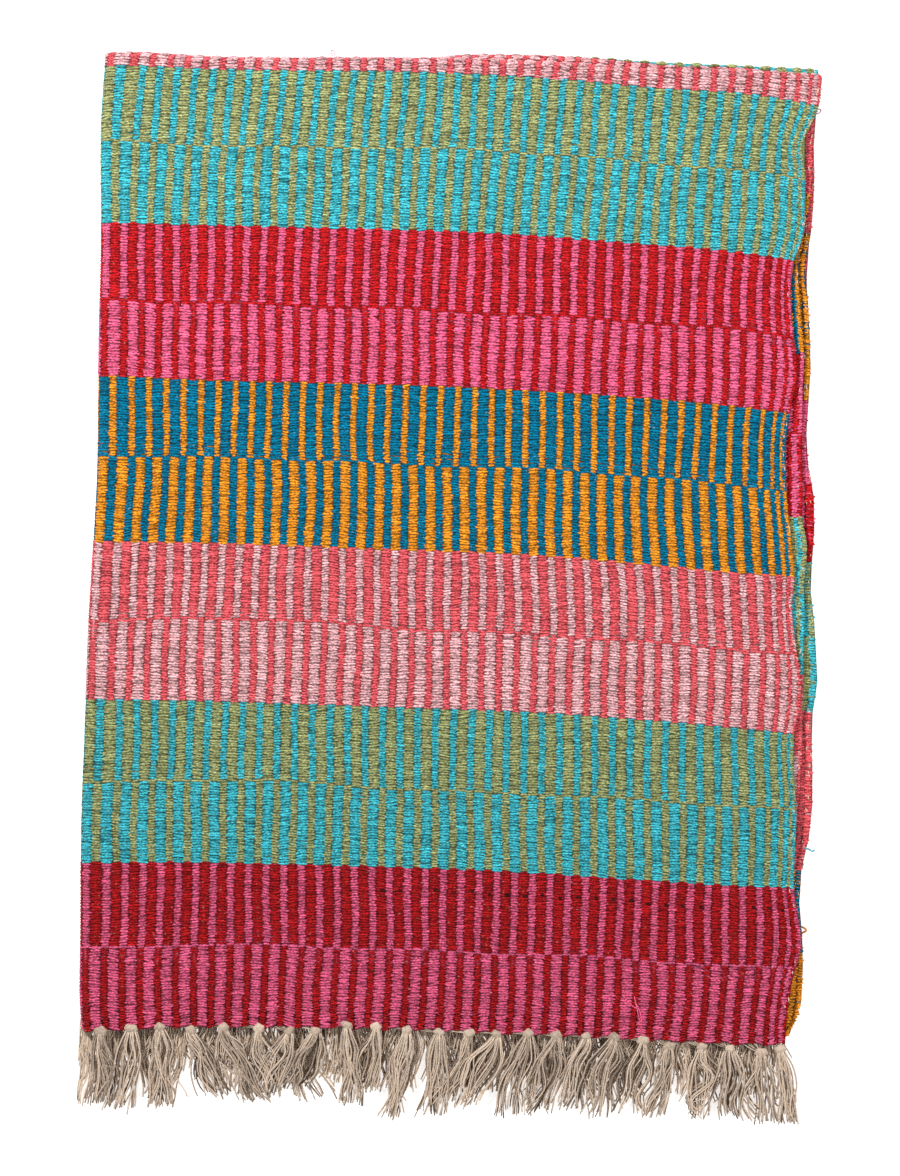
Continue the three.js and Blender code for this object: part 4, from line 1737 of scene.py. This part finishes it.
@dataclass
class Blanket:
    """The folded blanket with all its pieces."""

    fold: Fold = field(default_factory=Fold)
    # x and y of each knot, x and y of its tassel's tips, from the selvedge to the fold
    front_tassels: tuple = (
        (301.1, -419.7, 311.1, -490.8), (283.7, -422.9, 286.5, -489.9),
        (255.4, -419.2, 258.2, -485.4), (229.9, -417.8, 222.6, -485.4),
        (199.8, -417.4, 188.8, -485.4), (176.1, -411.9, 164.2, -480.8),
        (149.6, -408.7, 129.6, -482.6), (124.1, -407.8, 104.9, -477.1),
        (96.7, -406.9, 74.8, -480.8), (71.2, -405.5, 52.9, -482.6),
        (42.0, -406.0, 10.9, -474.4), (17.3, -405.1, -4.6, -474.4),
        (-10.0, -404.2, -17.3, -482.6), (-39.2, -402.3, -52.9, -486.3),
        (-67.5, -399.1, -75.7, -460.7), (-94.0, -397.8, -90.3, -473.5),
        (-123.2, -403.2, -144.1, -456.2), (-146.9, -403.2, -165.1, -459.8),
        (-174.2, -400.5, -162.4, -462.5), (-206.2, -399.6, -175.2, -469.8),
        (-236.3, -402.3, -209.8, -465.3), (-264.6, -399.6, -267.3, -472.6),
        (-291.0, -400.5, -303.8, -477.1), (-318.4, -403.2, -316.6, -472.6),
    )

    def build(self) -> None:
        """Build and dress every piece, and attach it to the body."""
        weave = Weave(self.fold)
        ground = Ground(weave).build()
        floats = Stitches(weave).build()
        turns = Selvedges(weave).build()
        threads = LooseThreads(self.fold).build()
        front = Fringe(
            self.fold, "fringe_of_first_end", 0.0, "fringe_front_end", 24, shown=self.front_tassels
        )
        back = Fringe(
            self.fold,
            "fringe_of_second_end",
            self.fold.length,
            "fringe_back_end",
            48,
            sunk=(5.4, 3.6),
        )
        for fringe in (front, back):
            piece = fringe.build()
            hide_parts(fringe.node)
            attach(piece, BODY)
        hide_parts("cloth")
        cloth = [ground, *floats, *turns, *threads]
        for piece in cloth:
            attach(piece, BODY)


@dataclass
class Studio:
    """A pale floor, soft light from all round and a camera straight above."""

    view_height: float = 1.0729
    camera_over: float = 4.0
    cloth_top: float = 0.014
    sensor: float = 36.0
    floor_colour: str = "#f4f3f1"

    def build(self) -> None:
        """Make the floor, the lights, the world and the camera."""
        self._floor()
        self._lights()
        self._camera()
        bpy.context.scene.view_settings.view_transform = "Standard"

    def _floor(self) -> None:
        """Lay the pale floor just under the blanket."""
        bpy.ops.object.select_all(action="DESELECT")
        bpy.ops.mesh.primitive_plane_add(size=12.0, location=(0, 0, -0.0005))
        floor = bpy.context.object
        floor.name = "studio_floor"
        made = bpy.data.materials.new("white_studio_paper")
        made.use_nodes = True
        shader = made.node_tree.nodes["Principled BSDF"]
        shader.inputs["Base Color"].default_value = linear(self.floor_colour)
        shader.inputs["Roughness"].default_value = 0.9
        # The paper is lit from below like a light table, so shadows on it stay faint
        shader.inputs["Emission Color"].default_value = (1.0, 1.0, 1.0, 1.0)
        shader.inputs["Emission Strength"].default_value = 0.62
        floor.data.materials.append(made)

    def _lights(self) -> None:
        """Hang one large soft light up left of the blanket, and light it evenly all round."""
        world = bpy.data.worlds.new("studio_air")
        world.use_nodes = True
        sky = world.node_tree.nodes["Background"]
        sky.inputs["Color"].default_value = (1.0, 1.0, 1.0, 1.0)
        sky.inputs["Strength"].default_value = 0.34
        bpy.context.scene.world = world
        for name, place, power, size in (
            ("soft_key", (-1.6, 1.9, 2.4), 104.0, 0.5),
            ("soft_fill", (2.3, -0.5, 2.0), 40.0, 2.0),
        ):
            light = bpy.data.lights.new(name, "AREA")
            light.energy = power
            light.size = size
            lamp = bpy.data.objects.new(name, light)
            lamp.location = place
            aim = -np.array(place)
            lamp.rotation_euler = (
                math.atan2(math.hypot(aim[0], aim[1]), -aim[2]),
                0.0,
                math.atan2(aim[1], aim[0]) - math.pi / 2,
            )
            bpy.context.scene.collection.objects.link(lamp)

    def _camera(self) -> None:
        """Set a long lens straight above the middle of the blanket."""
        lens = bpy.data.cameras.new("overhead")
        lens.sensor_width = self.sensor
        lens.lens = self.sensor * self.camera_over / self.view_height
        lens.clip_start = 0.1
        lens.clip_end = 50.0
        camera = bpy.data.objects.new("overhead", lens)
        camera.location = (0.0, 0.0, self.camera_over + self.cloth_top)
        bpy.context.scene.collection.objects.link(camera)
        bpy.context.scene.camera = camera


def main() -> None:
    """Build the blanket and the studio."""
    logging.basicConfig(level=logging.INFO, format="%(message)s")
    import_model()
    Blanket().build()
    Studio().build()
    bpy.context.view_layer.update()


if __name__ == "__main__":
    main()
